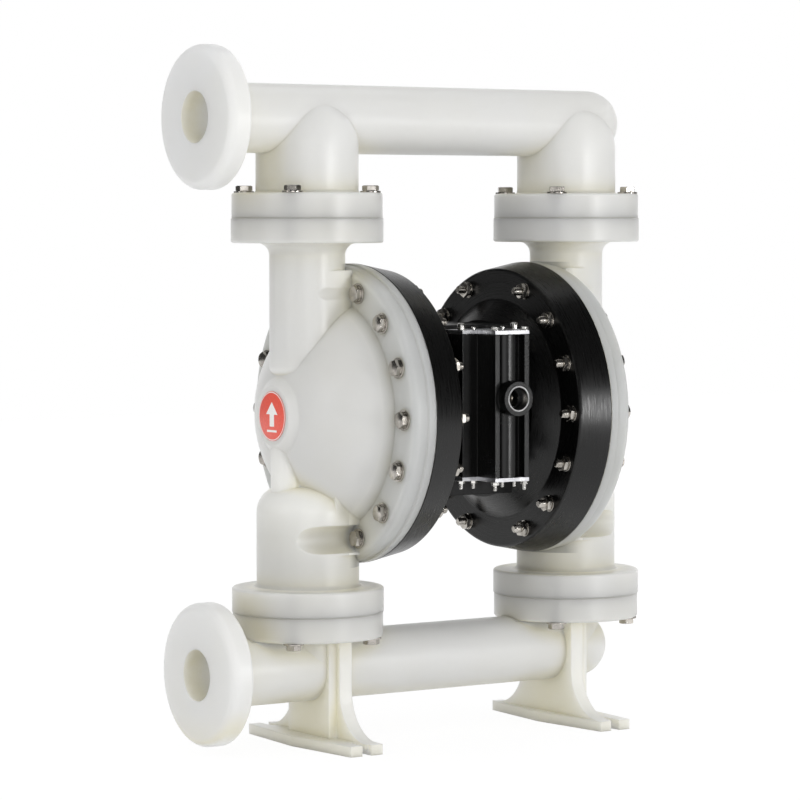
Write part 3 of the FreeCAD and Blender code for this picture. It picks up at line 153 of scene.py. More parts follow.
# Softboxes: name, place, width, height and watts, all aimed at the pump's middle
LAMP_TARGET = (0, 0, 0.42)
LAMPS = (
    ("left", (-3.3, -0.17, 1.05), 0.70, 1.60, 9),
    ("right", (0.94, -3.27, 0.46), 0.42, 0.80, 26),
    ("edge", (1.92, -2.86, 0.50), 0.25, 0.90, 5),
    ("front", (-1.7, -2.9, 0.80), 1.80, 1.30, 13),
    ("top", (0.9, 0.6, 2.6), 0.90, 0.90, 3),
)

CAMERA_PLACE = (-2.3223, -3.3862, 0.6105)
CAMERA_HEADING = math.radians(56.22)
CAMERA_PITCH = math.radians(-2.978)
CAMERA_ROLL = math.radians(-0.05)
CAMERA_LENS = 155.37
CAMERA_SENSOR = 36.0


# Shader helpers


def new_material(name, roughness, metallic=0.0, specular=0.5):
    material = bpy.data.materials.new(name)
    material.use_nodes = True
    shader = material.node_tree.nodes["Principled BSDF"]
    shader.inputs["Roughness"].default_value = roughness
    shader.inputs["Metallic"].default_value = metallic
    shader.inputs["Specular IOR Level"].default_value = specular
    return material, material.node_tree.nodes, material.node_tree.links, shader


def object_coordinates(nodes):
    return nodes.new("ShaderNodeTexCoord").outputs["Object"]


def noise(nodes, links, vector, scale, detail=3.0, roughness=0.55):
    texture = nodes.new("ShaderNodeTexNoise")
    texture.inputs["Scale"].default_value = scale
    texture.inputs["Detail"].default_value = detail
    texture.inputs["Roughness"].default_value = roughness
    links.new(vector, texture.inputs["Vector"])
    return texture.outputs["Fac"]


def ramp(nodes, links, value, stops):
    """Colours between stops, each (place, grey or colour)."""
    node = nodes.new("ShaderNodeValToRGB")
    elements = node.color_ramp.elements
    while len(elements) < len(stops):
        elements.new(0.5)
    for element, (place, colour) in zip(elements, stops):
        if isinstance(colour, (int, float)):
            colour = (colour, colour, colour)
        element.position = place
        element.color = (*colour, 1.0)
    links.new(value, node.inputs["Fac"])
    return node.outputs["Color"]


def arithmetic(nodes, links, operation, first, second=None):
    """One sum; each side is a socket or a number."""
    node = nodes.new("ShaderNodeMath")
    node.operation = operation
    for socket, source in zip(node.inputs, (first, second)):
        if isinstance(source, (int, float)):
            socket.default_value = source
        elif source is not None:
            links.new(source, socket)
    return node.outputs[0]


def vector_node(nodes, links, operation, first, second=None):
    """One sum with vectors; second is a socket or a vector."""
    node = nodes.new("ShaderNodeVectorMath")
    node.operation = operation
    links.new(first, node.inputs[0])
    if isinstance(second, tuple):
        node.inputs[1].default_value = second
    elif second is not None:
        links.new(second, node.inputs[1])
    return node


def scaled(nodes, links, vector, scale):
    node = vector_node(nodes, links, "SCALE", vector)
    node.inputs["Scale"].default_value = scale
    return node.outputs["Vector"]


def combined(nodes, links, **parts):
    """A vector from the sockets that are given as X, Y or Z."""
    node = nodes.new("ShaderNodeCombineXYZ")
    for axis, source in parts.items():
        links.new(source, node.inputs[axis])
    return node.outputs["Vector"]


def separated(nodes, links, vector):
    node = nodes.new("ShaderNodeSeparateXYZ")
    links.new(vector, node.inputs[0])
    return node.outputs


def tinted(nodes, links, blend, amount, under, over):
    """Two colours put together by an amount; each is a socket or a colour."""
    node = nodes.new("ShaderNodeMix")
    node.data_type = "RGBA"
    node.blend_type = blend
    links.new(amount, node.inputs["Factor"])
    for name, source in (("A", under), ("B", over)):
        socket = next(i for i in node.inputs if i.name == name and i.type == "RGBA")
        if isinstance(source, tuple):
            socket.default_value = (*source, 1.0)
        else:
            links.new(source, socket)
    return next(o for o in node.outputs if o.type == "RGBA")


def soft_bump(nodes, links, shader, height, distance, strength, edge=0.0):
    """A bump, on edges that are rounded off by a small radius where edge is given."""
    bump = nodes.new("ShaderNodeBump")
    bump.inputs["Distance"].default_value = distance
    bump.inputs["Strength"].default_value = strength
    links.new(height, bump.inputs["Height"])
    if edge:
        bevel = nodes.new("ShaderNodeBevel")
        bevel.samples = 4
        bevel.inputs["Radius"].default_value = edge
        links.new(bevel.outputs["Normal"], bump.inputs["Normal"])
    links.new(bump.outputs["Normal"], shader.inputs["Normal"])


# Materials


def natural_colour_and_painted_shade(nodes, links, place):
    """Cloudy near white, with painted shade, warmer, where the moulding is shut in, and a painted glow,
    lighter, deep in a bore.
    """
    cloud = noise(nodes, links, place, 7.0, detail=2.0)
    plain = ramp(nodes, links, cloud, [(0.30, NATURAL_LIGHT), (0.75, NATURAL_MILKY)])
    # Painted shade: occlusion gives a warmer shaded tint where the plastic is shut in, and a lighter painted
    # glow deep in a bore
    shut_in = nodes.new("ShaderNodeAmbientOcclusion")
    shut_in.samples = 8
    shut_in.inputs["Distance"].default_value = 0.075
    openness = arithmetic(nodes, links, "ADD", shut_in.outputs["AO"],
                          arithmetic(nodes, links, "MULTIPLY", cloud, 0.25))
    painted_shade_share = ramp(nodes, links, openness, [(0.50, 1.0), (0.80, 0.45), (1.10, 0.0)])
    painted_shade_and_glow = ramp(nodes, links, openness, [(0.30, NATURAL_PAINTED_BORE_GLOW), (0.50, NATURAL_PAINTED_SHADE)])
    return tinted(nodes, links, "MIX", painted_shade_share, plain, painted_shade_and_glow)


def band(nodes, links, distance, longest, stops):
    """Shares between stops, each (distance, share), with longest at the ramp's end."""
    return ramp(nodes, links, arithmetic(nodes, links, "DIVIDE", distance, longest),
                [(place / longest, share) for place, share in stops])


def within(nodes, links, distance, reach):
    """1 up to a distance, to either side, and 0 past it."""
    return arithmetic(nodes, links, "LESS_THAN",
                      arithmetic(nodes, links, "ABSOLUTE", distance), reach)


def painted_shade_bands(nodes, links, place):
    """Painted shade where the plastic lets less light through or gets less light: (share, shade colour)
    for the rings on the black caps, the manifold flanges, the lower legs and the pipe flanges."""
    axes = separated(nodes, links, place)
    outboard = arithmetic(nodes, links, "ABSOLUTE", axes["X"])
    leftward = arithmetic(nodes, links, "MULTIPLY", axes["X"], -1.0)
    depth = arithmetic(nodes, links, "SUBTRACT", AXIS_HEIGHT, axes["Z"])
    off_joint = arithmetic(nodes, links, "SUBTRACT",
                           arithmetic(nodes, links, "ABSOLUTE", depth), JOINT_SPAN)
    leg_axis = combined(
        nodes, links, X=arithmetic(nodes, links, "SUBTRACT", outboard, LEG_OFFSET), Y=axes["Y"])
    off_leg = vector_node(nodes, links, "LENGTH", leg_axis).outputs["Value"]
    ring = arithmetic(nodes, links, "MULTIPLY", band(nodes, links, outboard, 0.25, RING_BAND),
                      within(nodes, links, depth, RING_REACH))
    flange = arithmetic(nodes, links, "MULTIPLY", band(nodes, links, off_leg, 0.1, FLANGE_BAND),
                        within(nodes, links, off_joint, FLANGE_REACH))
    leg = arithmetic(nodes, links, "MULTIPLY", within(nodes, links, off_leg, LEG_REACH),
                     band(nodes, links, depth, 0.25, LEG_BAND))
    port = band(nodes, links, leftward, 0.5, PORT_BAND)
    return ((ring, RING_PAINTED_SHADE), (flange, FLANGE_PAINTED_SHADE), (leg, LEG_PAINTED_SHADE), (port, PORT_PAINTED_SHADE))


def natural_plastic():
    """Unpigmented moulded plastic that lets some light through."""
    material, nodes, links, shader = new_material("natural_plastic", 0.30)
    place = object_coordinates(nodes)
    colour = natural_colour_and_painted_shade(nodes, links, place)
    # Multiplies in the painted shade of each zone: cap rings, joint flanges, lower legs and pipe flanges
    for share, grey in painted_shade_bands(nodes, links, place):
        colour = tinted(nodes, links, "MULTIPLY", share, colour, grey)
    links.new(colour, shader.inputs["Base Color"])
    shader.inputs["Subsurface Weight"].default_value = 0.8
    shader.inputs["Subsurface Radius"].default_value = (1.0, 1.0, 0.98)
    shader.inputs["Subsurface Scale"].default_value = 0.045
    worn = noise(nodes, links, place, 38.0)
    links.new(ramp(nodes, links, worn, [(0.3, 0.29), (0.7, 0.37)]), shader.inputs["Roughness"])
    grain = noise(nodes, links, place, 900.0, detail=2.0)
    soft_bump(nodes, links, shader, grain, 0.0002, 0.30, edge=0.0026)
    return material


def turned_coordinates(nodes, links, fine, slow):
    """Coordinates that change fast along and across the chamber axis, and slowly round it."""
    axes = separated(nodes, links, object_coordinates(nodes))
    height = arithmetic(nodes, links, "SUBTRACT", axes["Z"], AXIS_HEIGHT)
    flat = combined(nodes, links, Y=axes["Y"], Z=height)
    radius = vector_node(nodes, links, "LENGTH", flat).outputs["Value"]
    way = vector_node(nodes, links, "NORMALIZE", flat).outputs["Vector"]
    lined = combined(nodes, links, X=axes["X"], Y=radius)
    return vector_node(nodes, links, "ADD", scaled(nodes, links, lined, fine),
                       scaled(nodes, links, way, slow)).outputs["Vector"]


def black_turned_plastic():
    """Black moulding with the fine rings that a lathe tool leaves."""
    material, nodes, links, shader = new_material("black_turned_plastic", 0.30, specular=0.38)
    lined = turned_coordinates(nodes, links, 700.0, 6.0)
    rings = noise(nodes, links, lined, 1.0, detail=4.0, roughness=0.7)
    smudge = noise(nodes, links, object_coordinates(nodes), 14.0, detail=5.0)
    streaks = arithmetic(nodes, links, "MULTIPLY", rings, smudge)
    links.new(ramp(nodes, links, streaks, [(0.12, 0.001), (0.42, 0.004)]),
              shader.inputs["Base Color"])
    links.new(ramp(nodes, links, rings, [(0.3, 0.22), (0.7, 0.38)]), shader.inputs["Roughness"])
    soft_bump(nodes, links, shader, rings, 0.00003, 0.5, edge=0.0014)
    return material


def black_moulding(name, base, rough_low, rough_high, specular):
    """Black moulding as it leaves its mould, with a faint grain."""
    material, nodes, links, shader = new_material(name, rough_low, specular=specular)
    place = object_coordinates(nodes)
    smudge = noise(nodes, links, place, 22.0, detail=5.0)
    links.new(ramp(nodes, links, smudge, [(0.3, base), (0.75, base * 2.2)]),
              shader.inputs["Base Color"])
    links.new(ramp(nodes, links, smudge, [(0.3, rough_low), (0.7, rough_high)]),
              shader.inputs["Roughness"])
    grain = noise(nodes, links, place, 1100.0, detail=2.0)
    soft_bump(nodes, links, shader, grain, 0.0002, 0.3, edge=0.0016)
    return material


def metal(name, light, dark, rough_low, rough_high):
    """Metal with light and dark stains, rougher where it is dark."""
    material, nodes, links, shader = new_material(name, rough_low, metallic=1.0)
    place = object_coordinates(nodes)
    stain = noise(nodes, links, place, 60.0, detail=5.0)
    links.new(ramp(nodes, links, stain, [(0.35, dark), (0.70, light)]),
              shader.inputs["Base Color"])
    links.new(ramp(nodes, links, stain, [(0.3, rough_high), (0.7, rough_low)]),
              shader.inputs["Roughness"])
    grain = noise(nodes, links, place, 2080.0, detail=2.0)
    soft_bump(nodes, links, shader, grain, 0.00005, 0.3, edge=0.0006)
    return material


def smooth_polymer(name, light, dark, roughness):
    material, nodes, links, shader = new_material(name, roughness)
    place = object_coordinates(nodes)
    cloud = noise(nodes, links, place, 25.0)
    links.new(ramp(nodes, links, cloud, [(0.3, dark), (0.7, light)]),
              shader.inputs["Base Color"])
    grain = noise(nodes, links, place, 1500.0, detail=1.0)
    soft_bump(nodes, links, shader, grain, 0.0001, 0.2)
    return material


def printed_film(name, colour, deeper):
    """A printed label film: fine mottle in the ink under a smooth coat."""
    material, nodes, links, shader = new_material(name, 0.38)
    mottle = noise(nodes, links, object_coordinates(nodes), 520.0, detail=4.0)
    links.new(ramp(nodes, links, mottle, [(0.35, deeper), (0.65, colour)]),
              shader.inputs["Base Color"])
    shader.inputs["Coat Weight"].default_value = 0.25
    shader.inputs["Coat Roughness"].default_value = 0.2
    soft_bump(nodes, links, shader, mottle, 0.00004, 0.3)
    return material


MATERIALS = {
    "natural": natural_plastic(),
    "black_turned": black_turned_plastic(),
    "black_body": black_moulding("black_body", 0.002, 0.30, 0.42, specular=0.20),
    "valve_body": black_moulding("valve_body", 0.002, 0.20, 0.30, specular=0.35),
    "cover_metal": metal("cover_metal", (0.62, 0.62, 0.63), (0.42, 0.42, 0.44), 0.24, 0.36),
    "stainless": metal("stainless", (0.60, 0.57, 0.53), (0.34, 0.32, 0.29), 0.14, 0.30),
    "bright_steel": metal("bright_steel", (0.86, 0.85, 0.83), (0.66, 0.65, 0.62), 0.14, 0.26),
    "machined_edge": metal("machined_edge", (0.36, 0.36, 0.36), (0.22, 0.22, 0.22), 0.26, 0.38),
    "white_polymer": smooth_polymer(
        "white_polymer", (0.90, 0.90, 0.88), (0.84, 0.84, 0.81), 0.35),
    "tan_polymer": smooth_polymer("tan_polymer", (0.80, 0.76, 0.62), (0.72, 0.67, 0.52), 0.45),
    "rubber": smooth_polymer("rubber", (0.020, 0.020, 0.021), (0.012, 0.012, 0.012), 0.62),
    "coral_film": printed_film("coral_film", (0.86, 0.115, 0.075), (0.74, 0.085, 0.055)),
    "white_film": printed_film("white_film", (0.90, 0.88, 0.86), (0.84, 0.82, 0.80)),
}

NODE_MATERIALS = {
    "natural": ["outlet_manifold", "inlet_manifold", "left_fluid_cap", "right_fluid_cap"],
    "black_turned": ["left_air_cap", "right_air_cap"],
    "black_body": ["centre_body", "exhaust_cover", "muffler"],
    "valve_body": ["valve_block"],
    "cover_metal": ["valve_top_cover", "valve_bottom_cover"],
    "machined_edge": ["air_inlet_ring", "left_inner_washer", "right_inner_washer"],
    "stainless": [
        "left_cap_bolts", "right_cap_bolts", "left_cap_nuts", "right_cap_nuts",
        "upper_manifold_bolts", "lower_manifold_bolts", "valve_top_screws",
        "valve_bottom_screws", "exhaust_screws", "diaphragm_rod", "pilot_rod",
        "left_diaphragm_screw", "right_diaphragm_screw", "main_spool", "valve_sleeve",
    ],
    "white_polymer": [
        "left_diaphragm", "right_diaphragm", "inlet_ball_left", "inlet_ball_right",
        "outlet_ball_left", "outlet_ball_right", "inlet_seat_left", "inlet_seat_right",
        "outlet_seat_left", "outlet_seat_right", "left_outer_washer", "right_outer_washer",
        "seat_rings",
    ],
    "tan_polymer": [
        "left_rod_bushing", "right_rod_bushing", "left_pilot_bushing", "right_pilot_bushing",
        "valve_plate", "valve_slide",
    ],
    "rubber": ["left_rod_seal", "right_rod_seal", "spool_seals", "valve_gasket"],
    "coral_film": ["cap_label"],
}


def dress_nodes():
    for material, names in NODE_MATERIALS.items():
        for name in names:
            mesh = NODES[name].data
            mesh.materials.clear()
            mesh.materials.append(MATERIALS[material])


# Mesh helpers


def finish_piece(name, build, material, body="housing", replaces=()):
    """Makes the piece, smooth but for its edges; without a body, the caller blends it."""
    mesh = bpy.data.meshes.new(name)
    build.normal_update()
    build.to_mesh(mesh)
    build.free()
    mesh.materials.append(MATERIALS[material])
    piece = bpy.data.objects.new(name, mesh)
    bpy.context.scene.collection.objects.link(piece)
    mesh.shade_smooth()
    mesh.set_sharp_from_angle(angle=math.radians(32))
    if body:
        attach(piece, body)
    if replaces:
        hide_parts(*replaces)
    return piece


def grid_surface(build, rows, place):
    """Joins rings of points into a skin; each row is a closed ring, or one point."""
    made = []
    for row in rows:
        made.append([build.verts.new(place @ Vector(point)) for point in row])
    for low, high in zip(made, made[1:]):
        steps = max(len(low), len(high))
        for step in range(steps):
            after = (step + 1) % steps
            corners = [low[step % len(low)], low[after % len(low)],
                       high[after % len(high)], high[step % len(high)]]
            corners = list(dict.fromkeys(corners))
            if len(corners) > 2:
                build.faces.new(corners)


def hexagon_head(build, place, corner, low, high, bore=0.0, steps=48):
    """A hexagon with the round chamfer that forging and turning leave on its corners."""
    flat = corner * math.cos(math.pi / 6)
    turns = [2 * math.pi * step / steps for step in range(steps)]

    def ring(radius_of, height_of):
        return [(radius_of(t) * math.cos(t), radius_of(t) * math.sin(t), height_of(t))
                for t in turns]

    def side(turn):
        return flat / math.cos(turn % (math.pi / 3) - math.pi / 6)

    def chamfered(turn):
        return high - max(0.0, side(turn) - flat * 0.98) * math.tan(math.radians(30))

    rows = [
        ring(side, lambda t: low),
        ring(side, chamfered),
        ring(lambda t: flat * 0.96, lambda t: high),
    ]
    if bore:
        rows.append(ring(lambda t: bore, lambda t: high))
    else:
        rows.append([(0, 0, high)])
    grid_surface(build, rows, place)


def lathe(build, place, profile, steps=48):
    """Turns (radius, height) points about the piece's own upright axis."""
    rows = []
    for radius, height in profile:
        if radius < 1e-6:
            rows.append([(0, 0, height)])
        else:
            rows.append([
                (radius * math.cos(2 * math.pi * step / steps),
                 radius * math.sin(2 * math.pi * step / steps), height)
                for step in range(steps)
            ])
    grid_surface(build, rows, place)


def washer(build, place, radius, bore, low, high):
    lathe(build, place, [
        (bore, low), (radius - WASHER_EDGE, low), (radius, low + WASHER_EDGE),
        (radius, high - WASHER_EDGE), (radius - WASHER_EDGE, high), (bore, high),
    ])


def threaded_shank(build, place, radius, low, high, pitch, steps=32):
    """A stud with a thread that climbs round it, and a chamfered end at high."""
    depth = pitch * 0.45
    chamfer = pitch * 1.1
    count = max(4, int((high - low) / pitch * 6))
    rows = []
    for level in range(count + 1):
        height = low + (high - low) * level / count
        row = []
        for step in range(steps):
            turn = 2 * math.pi * step / steps
            phase = (height / pitch - turn / (2 * math.pi)) % 1.0
            groove = depth * (1 - abs(2 * phase - 1))
            outer = min(radius - groove, radius - chamfer + (high - height))
            row.append((outer * math.cos(turn), outer * math.sin(turn), height))
        rows.append(row)
    rows.append([(0, 0, high)])
    grid_surface(build, rows, place)


def upright(east, north, up, direction, spin=0.0):
    """A place whose own +Z points in a direction, turned about it by spin."""
    aim = Vector(direction).to_track_quat("Z", "Y").to_matrix().to_4x4()
    return Matrix.Translation((east, north, up)) @ aim @ Matrix.Rotation(spin, 4, "Z")


# Fasteners


def bolt_head(build, place):
    """A flat washer under a forged head, with the narrow shoulder between them."""
    washer(build, place, WASHER_RADIUS, SHANK_RADIUS, 0.0, WASHER_THICKNESS)
    under_head = WASHER_THICKNESS + HEAD_GAP
    lathe(build, place, [
        (SHANK_RADIUS, WASHER_THICKNESS), (HEAD_CORNER * 0.90, WASHER_THICKNESS),
        (HEAD_CORNER * 0.90, under_head), (HEAD_CORNER * 0.80, under_head),
    ])
    hexagon_head(build, place, HEAD_CORNER, under_head, WASHER_THICKNESS + HEAD_HEIGHT)


def chamber_places(face, outward):
    """Places round both chambers' rings; outward is 1 for bolt heads and -1 for nuts."""
    places = {}
    for name, side in SIDES.items():
        spots = []
        for turn in BOLT_TURNS:
            angle = math.radians(turn)
            spots.append((
                side * face,
                CHAMBER_BOLT_CIRCLE * math.cos(angle),
                AXIS_HEIGHT + CHAMBER_BOLT_CIRCLE * math.sin(angle),
                (side * outward, 0, 0),
            ))
        places[name] = spots
    return places


def chamber_bolts():
    dice = random.Random(11)
    for name, spots in chamber_places(CAP_OUTER_FACE, 1).items():
        build = bmesh.new()
        for east, north, up, way in spots:
            bolt_head(build, upright(east, north, up, way, dice.uniform(0, 1.0)))
        finish_piece(f"{name}_cap_bolt_heads", build, "stainless",
                     replaces=[f"{name}_cap_bolts"])


def chamber_nuts():
    """On each bolt a flat washer, a spring washer, a nut and the threaded end past it."""
    dice = random.Random(5)
    spring_top = FLAT_WASHER + SPRING_WASHER
    for name, spots in chamber_places(AIR_RING_FACE, -1).items():
        build = bmesh.new()
        for east, north, up, way in spots:
            place = upright(east, north, up, way, dice.uniform(0, 1.0))
            washer(build, place, HEAD_CORNER, SHANK_RADIUS, 0.0, FLAT_WASHER)
            washer(build, place, HEAD_CORNER * 0.84, SHANK_RADIUS, FLAT_WASHER + 0.0001,
                   spring_top)
            hexagon_head(build, place, HEAD_CORNER * 0.98, spring_top + 0.0002, NUT_HEIGHT,
                         bore=SHANK_RADIUS * 0.9)
            threaded_shank(build, place, SHANK_RADIUS, NUT_HEIGHT - 0.001,
                           BOLT_TIP + dice.uniform(-0.001, 0.0), THREAD_PITCH)
        finish_piece(f"{name}_cap_nut_stacks", build, "stainless",
                     replaces=[f"{name}_cap_nuts"])


def joint_bolts():
    """Bolt heads on the manifolds' flanges: over the upper joints and under the lower ones."""
    dice = random.Random(3)
    for label, way in (("upper", 1), ("lower", -1)):
        node = f"{label}_manifold_bolts"
        low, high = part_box(node)
        head_top = high.z if way > 0 else low.z
        face = head_top - way * (WASHER_THICKNESS + HEAD_HEIGHT)
        build = bmesh.new()
        for side in SIDES.values():
            for turn in JOINT_TURNS:
                angle = math.radians(turn)
                bolt_head(build, upright(
                    side * LEG_OFFSET + JOINT_BOLT_CIRCLE * math.cos(angle),
                    JOINT_BOLT_CIRCLE * math.sin(angle), face, (0, 0, way),
                    dice.uniform(0, 1.0)))
        finish_piece(f"{label}_joint_bolt_heads", build, "stainless",
                     replaces=[node])


def top_cover_screws():
    """Six screws in the valve's top cover: hexagon heads, cap nuts and plugs."""
    top = AXIS_HEIGHT + COVER_TOP
    build = bmesh.new()
    for hand in (-1, 1):
        flat = upright(hand * COVER_NEAR_SCREW, COVER_FRONT_ROW, top, (0, 0, 1), 0.3)
        washer(build, flat, COVER_WASHER_RADIUS, COVER_WASHER_BORE, 0.0, 0.0010)
        hexagon_head(build, flat, COVER_HEAD_CORNER, 0.0011, 0.0042)
        lathe(build, upright(hand * COVER_FAR_SCREW, COVER_BACK_ROW, top, (0, 0, 1)),
              CAP_NUT_PROFILE)
        lathe(build, upright(hand * COVER_NEAR_SCREW, COVER_BACK_ROW, top, (0, 0, 1)),
              PLUG_PROFILE)
    finish_piece("valve_top_screw_heads", build, "bright_steel",
                 replaces=["valve_top_screws"])


def bottom_cover_nuts():
    """Nuts and threaded ends of the same six screws under the valve's bottom cover."""
    bottom = AXIS_HEIGHT - COVER_BOTTOM
    spots = (
        (COVER_NEAR_SCREW, COVER_FRONT_ROW), (COVER_NEAR_SCREW, COVER_BACK_ROW),
        (COVER_FAR_SCREW, COVER_BACK_ROW),
    )
    build = bmesh.new()
    for hand in (-1, 1):
        for across, along in spots:
            place = upright(hand * across, along, bottom, (0, 0, -1), 0.4 * hand)
            washer(build, place, COVER_WASHER_RADIUS, COVER_WASHER_BORE, 0.0, 0.0008)
            hexagon_head(build, place, COVER_HEAD_CORNER, 0.0009, 0.0038, bore=0.0022)
            threaded_shank(build, place, 0.0023, 0.0030, 0.0102, 0.0008, steps=20)
    finish_piece("valve_bottom_nuts", build, "bright_steel",
                 replaces=["valve_bottom_screws"])


# Diaphragms


def roll_profile():
    """The diaphragm's roll as (radius, height): an arc between its flat rim and middle."""
    half = DIAPHRAGM_ROLL_SPAN / 2
    radius = (half ** 2 + DIAPHRAGM_ROLL ** 2) / (2 * DIAPHRAGM_ROLL)
    steps = 32
    line = []
    for step in range(steps + 1):
        across = DIAPHRAGM_ROLL_SPAN * (step / steps - 0.5)
        rise = math.sqrt(radius ** 2 - across ** 2) - radius + DIAPHRAGM_ROLL
        line.append((DIAPHRAGM_ROLL_START + half + across, rise))
    return line


def diaphragms():
    """Each diaphragm bends: its rim stays clamped in the chamber, its middle goes with the rod."""
    half = DIAPHRAGM_THICKNESS / 2
    line = [(DIAPHRAGM_HOLE, 0.0)] + roll_profile() + [(DIAPHRAGM_RIM, 0.0)]
    outline = [(r, h - half) for r, h in line] + [(r, h + half) for r, h in reversed(line)]
    for name, side in SIDES.items():
        build = bmesh.new()
        place = upright(side * DIAPHRAGM_PLANE, 0, AXIS_HEIGHT, (side, 0, 0))
        lathe(build, place, outline + outline[:1], steps=96)
        bmesh.ops.remove_doubles(build, verts=build.verts, dist=1e-6)
        piece = finish_piece(f"{name}_diaphragm_disc", build, "white_polymer",
                             body=None, replaces=[f"{name}_diaphragm"])
        rim = (side * DIAPHRAGM_PLANE, DIAPHRAGM_ROLL_START + DIAPHRAGM_ROLL_SPAN, AXIS_HEIGHT)
        washer_edge = (side * DIAPHRAGM_PLANE, DIAPHRAGM_ROLL_START, AXIS_HEIGHT)
        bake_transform(piece, "housing", "shaft", start=rim, end=washer_edge)
        bend_by_radius(piece)


def bend_by_radius(piece):
    """The same smooth turn from rim to middle, in every direction round the axis."""
    bends = piece.data.attributes["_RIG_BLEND"].data
    for vertex, bend in zip(piece.data.vertices, bends):
        radius = math.hypot(vertex.co.y, vertex.co.z - AXIS_HEIGHT)
        share = 1 - (radius - DIAPHRAGM_ROLL_START) / DIAPHRAGM_ROLL_SPAN
        share = min(1.0, max(0.0, share))
        bend.value = share * share * (3 - 2 * share)


# Label


def flat_shape(build, place, corners, height):
    build.faces.new([build.verts.new(place @ Vector((x, y, height))) for x, y in corners])


def label():
    """A plain red disc with a white rim, a white arrow that shows the flow's direction, and
    a bar under it."""
    place = upright(-LABEL_PAD_FACE, 0, AXIS_HEIGHT, (-1, 0, 0))
    up = place.inverted().to_3x3() @ Vector((0, 0, 1))
    place = place @ Matrix.Rotation(math.atan2(up.y, up.x) - math.pi / 2, 4, "Z")
    film_top = LABEL_THICKNESS * 0.8
    film = bmesh.new()
    lathe(film, place, [(LABEL_RADIUS, 0), (LABEL_RADIUS, LABEL_THICKNESS * 0.6),
                        (LABEL_RADIUS - 0.0003, film_top), (0, film_top)], steps=96)
    finish_piece("label_film", film, "coral_film", replaces=["cap_label"])
    print_height = LABEL_THICKNESS * 0.9
    marks = bmesh.new()
    flat_shape(marks, place, [
        (-ARROW_HALF_STEM, ARROW_FOOT), (ARROW_HALF_STEM, ARROW_FOOT),
        (ARROW_HALF_STEM, ARROW_SHOULDER), (ARROW_HALF_HEAD, ARROW_SHOULDER),
        (0, ARROW_TIP), (-ARROW_HALF_HEAD, ARROW_SHOULDER),
        (-ARROW_HALF_STEM, ARROW_SHOULDER),
    ], print_height)
    flat_shape(marks, place, [
        (-BAR_HALF, BAR_LOW), (BAR_HALF, BAR_LOW), (BAR_HALF, BAR_HIGH), (-BAR_HALF, BAR_HIGH),
    ], print_height)
    outer, inner = (LABEL_RADIUS - inset for inset in LABEL_RIM)
    lathe(marks, place, [(inner, print_height), (outer, print_height)], steps=96)
    finish_piece("label_marks", marks, "white_film")


# Stage, camera and light


def seen_as_background(nodes, links):
    """1 for the rays that see the white background, 0 for those that light the object."""
    path = nodes.new("ShaderNodeLightPath").outputs
    shown = arithmetic(nodes, links, "MAXIMUM", path["Is Camera Ray"], path["Is Glossy Ray"])
    return arithmetic(nodes, links, "MAXIMUM", shown, path["Is Transmission Ray"])


def mixed_shader(nodes, links, amount, under, over, target):
    node = nodes.new("ShaderNodeMixShader")
    links.new(amount, node.inputs["Fac"])
    links.new(under.outputs[0], node.inputs[1])
    links.new(over.outputs[0], node.inputs[2])
    links.new(node.outputs[0], target.inputs["Surface"])


def white_floor():
    """A pale floor that is seen nearly white, and keeps the pump's soft shadow."""
    build = bmesh.new()
    bmesh.ops.create_grid(build, x_segments=1, y_segments=1, size=FLOOR_SIZE)
    mesh = bpy.data.meshes.new("floor")
    build.to_mesh(mesh)
    build.free()
    floor = bpy.data.objects.new("floor", mesh)
    floor.location.z = -FLOOR_DROP
    bpy.context.scene.collection.objects.link(floor)
    material, nodes, links, shader = new_material("white_floor", 0.9, specular=0.1)
    shader.inputs["Base Color"].default_value = (FLOOR_COLOUR, FLOOR_COLOUR, FLOOR_COLOUR, 1)
    glow = nodes.new("ShaderNodeEmission")
    glow.inputs["Strength"].default_value = FLOOR_GLOW
    share = arithmetic(nodes, links, "MULTIPLY", seen_as_background(nodes, links),
                       FLOOR_GLOW_SHARE)
    mixed_shader(nodes, links, share, shader, glow, nodes["Material Output"])
    mesh.materials.append(material)


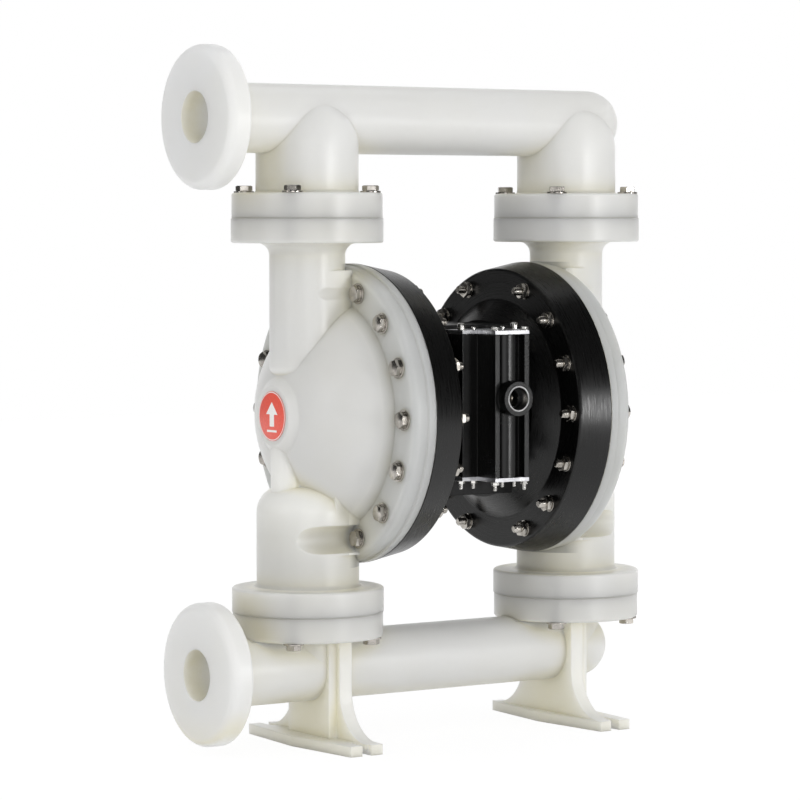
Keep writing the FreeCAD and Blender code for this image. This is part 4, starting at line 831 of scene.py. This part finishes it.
def white_world():
    """White all round; gloss shows the white backdrop and the dim room beside it."""
    world = bpy.data.worlds.new("studio")
    bpy.context.scene.world = world
    world.use_nodes = True
    nodes, links = world.node_tree.nodes, world.node_tree.links
    ambient = nodes["Background"]
    ambient.inputs["Color"].default_value = (1.0, 1.0, 1.0, 1)
    ambient.inputs["Strength"].default_value = AMBIENT
    backdrop = nodes.new("ShaderNodeBackground")
    way = nodes.new("ShaderNodeTexCoord").outputs["Generated"]
    facing = vector_node(nodes, links, "DOT_PRODUCT", way, BACKDROP_WAY).outputs["Value"]
    room = ramp(nodes, links, facing, [(BACKDROP_EDGE, DIM_ROOM), (BACKDROP_FULL, 1.0)])
    glossy = nodes.new("ShaderNodeLightPath").outputs["Is Glossy Ray"]
    links.new(tinted(nodes, links, "MIX", glossy, (1.0, 1.0, 1.0), room),
              backdrop.inputs["Color"])
    mixed_shader(nodes, links, seen_as_background(nodes, links), ambient, backdrop,
                 nodes["World Output"])


def light_studio():
    for name, spot, width, height, watts in LAMPS:
        light = bpy.data.lights.new(name, "AREA")
        light.shape = "RECTANGLE"
        light.size = width
        light.size_y = height
        light.energy = watts
        lamp = bpy.data.objects.new(name, light)
        lamp.location = spot
        aim = Vector(LAMP_TARGET) - Vector(spot)
        lamp.rotation_euler = aim.to_track_quat("-Z", "Y").to_euler()
        bpy.context.scene.collection.objects.link(lamp)


def camera():
    data = bpy.data.cameras.new("camera")
    data.sensor_width = CAMERA_SENSOR
    data.lens = CAMERA_LENS
    data.clip_start = 0.1
    data.clip_end = 60.0
    seen = bpy.data.objects.new("camera", data)
    level = math.cos(CAMERA_PITCH)
    forward = Vector((level * math.cos(CAMERA_HEADING), level * math.sin(CAMERA_HEADING),
                      math.sin(CAMERA_PITCH)))
    seen.location = CAMERA_PLACE
    seen.rotation_euler = (forward.to_track_quat("-Z", "Y").to_matrix()
                           @ Matrix.Rotation(CAMERA_ROLL, 3, "Z")).to_euler()
    bpy.context.scene.collection.objects.link(seen)
    bpy.context.scene.camera = seen


camera()
dress_nodes()
chamber_bolts()
chamber_nuts()
joint_bolts()
top_cover_screws()
bottom_cover_nuts()
diaphragms()
label()
white_floor()
white_world()
light_studio()
bpy.context.scene.view_settings.view_transform = "Standard"
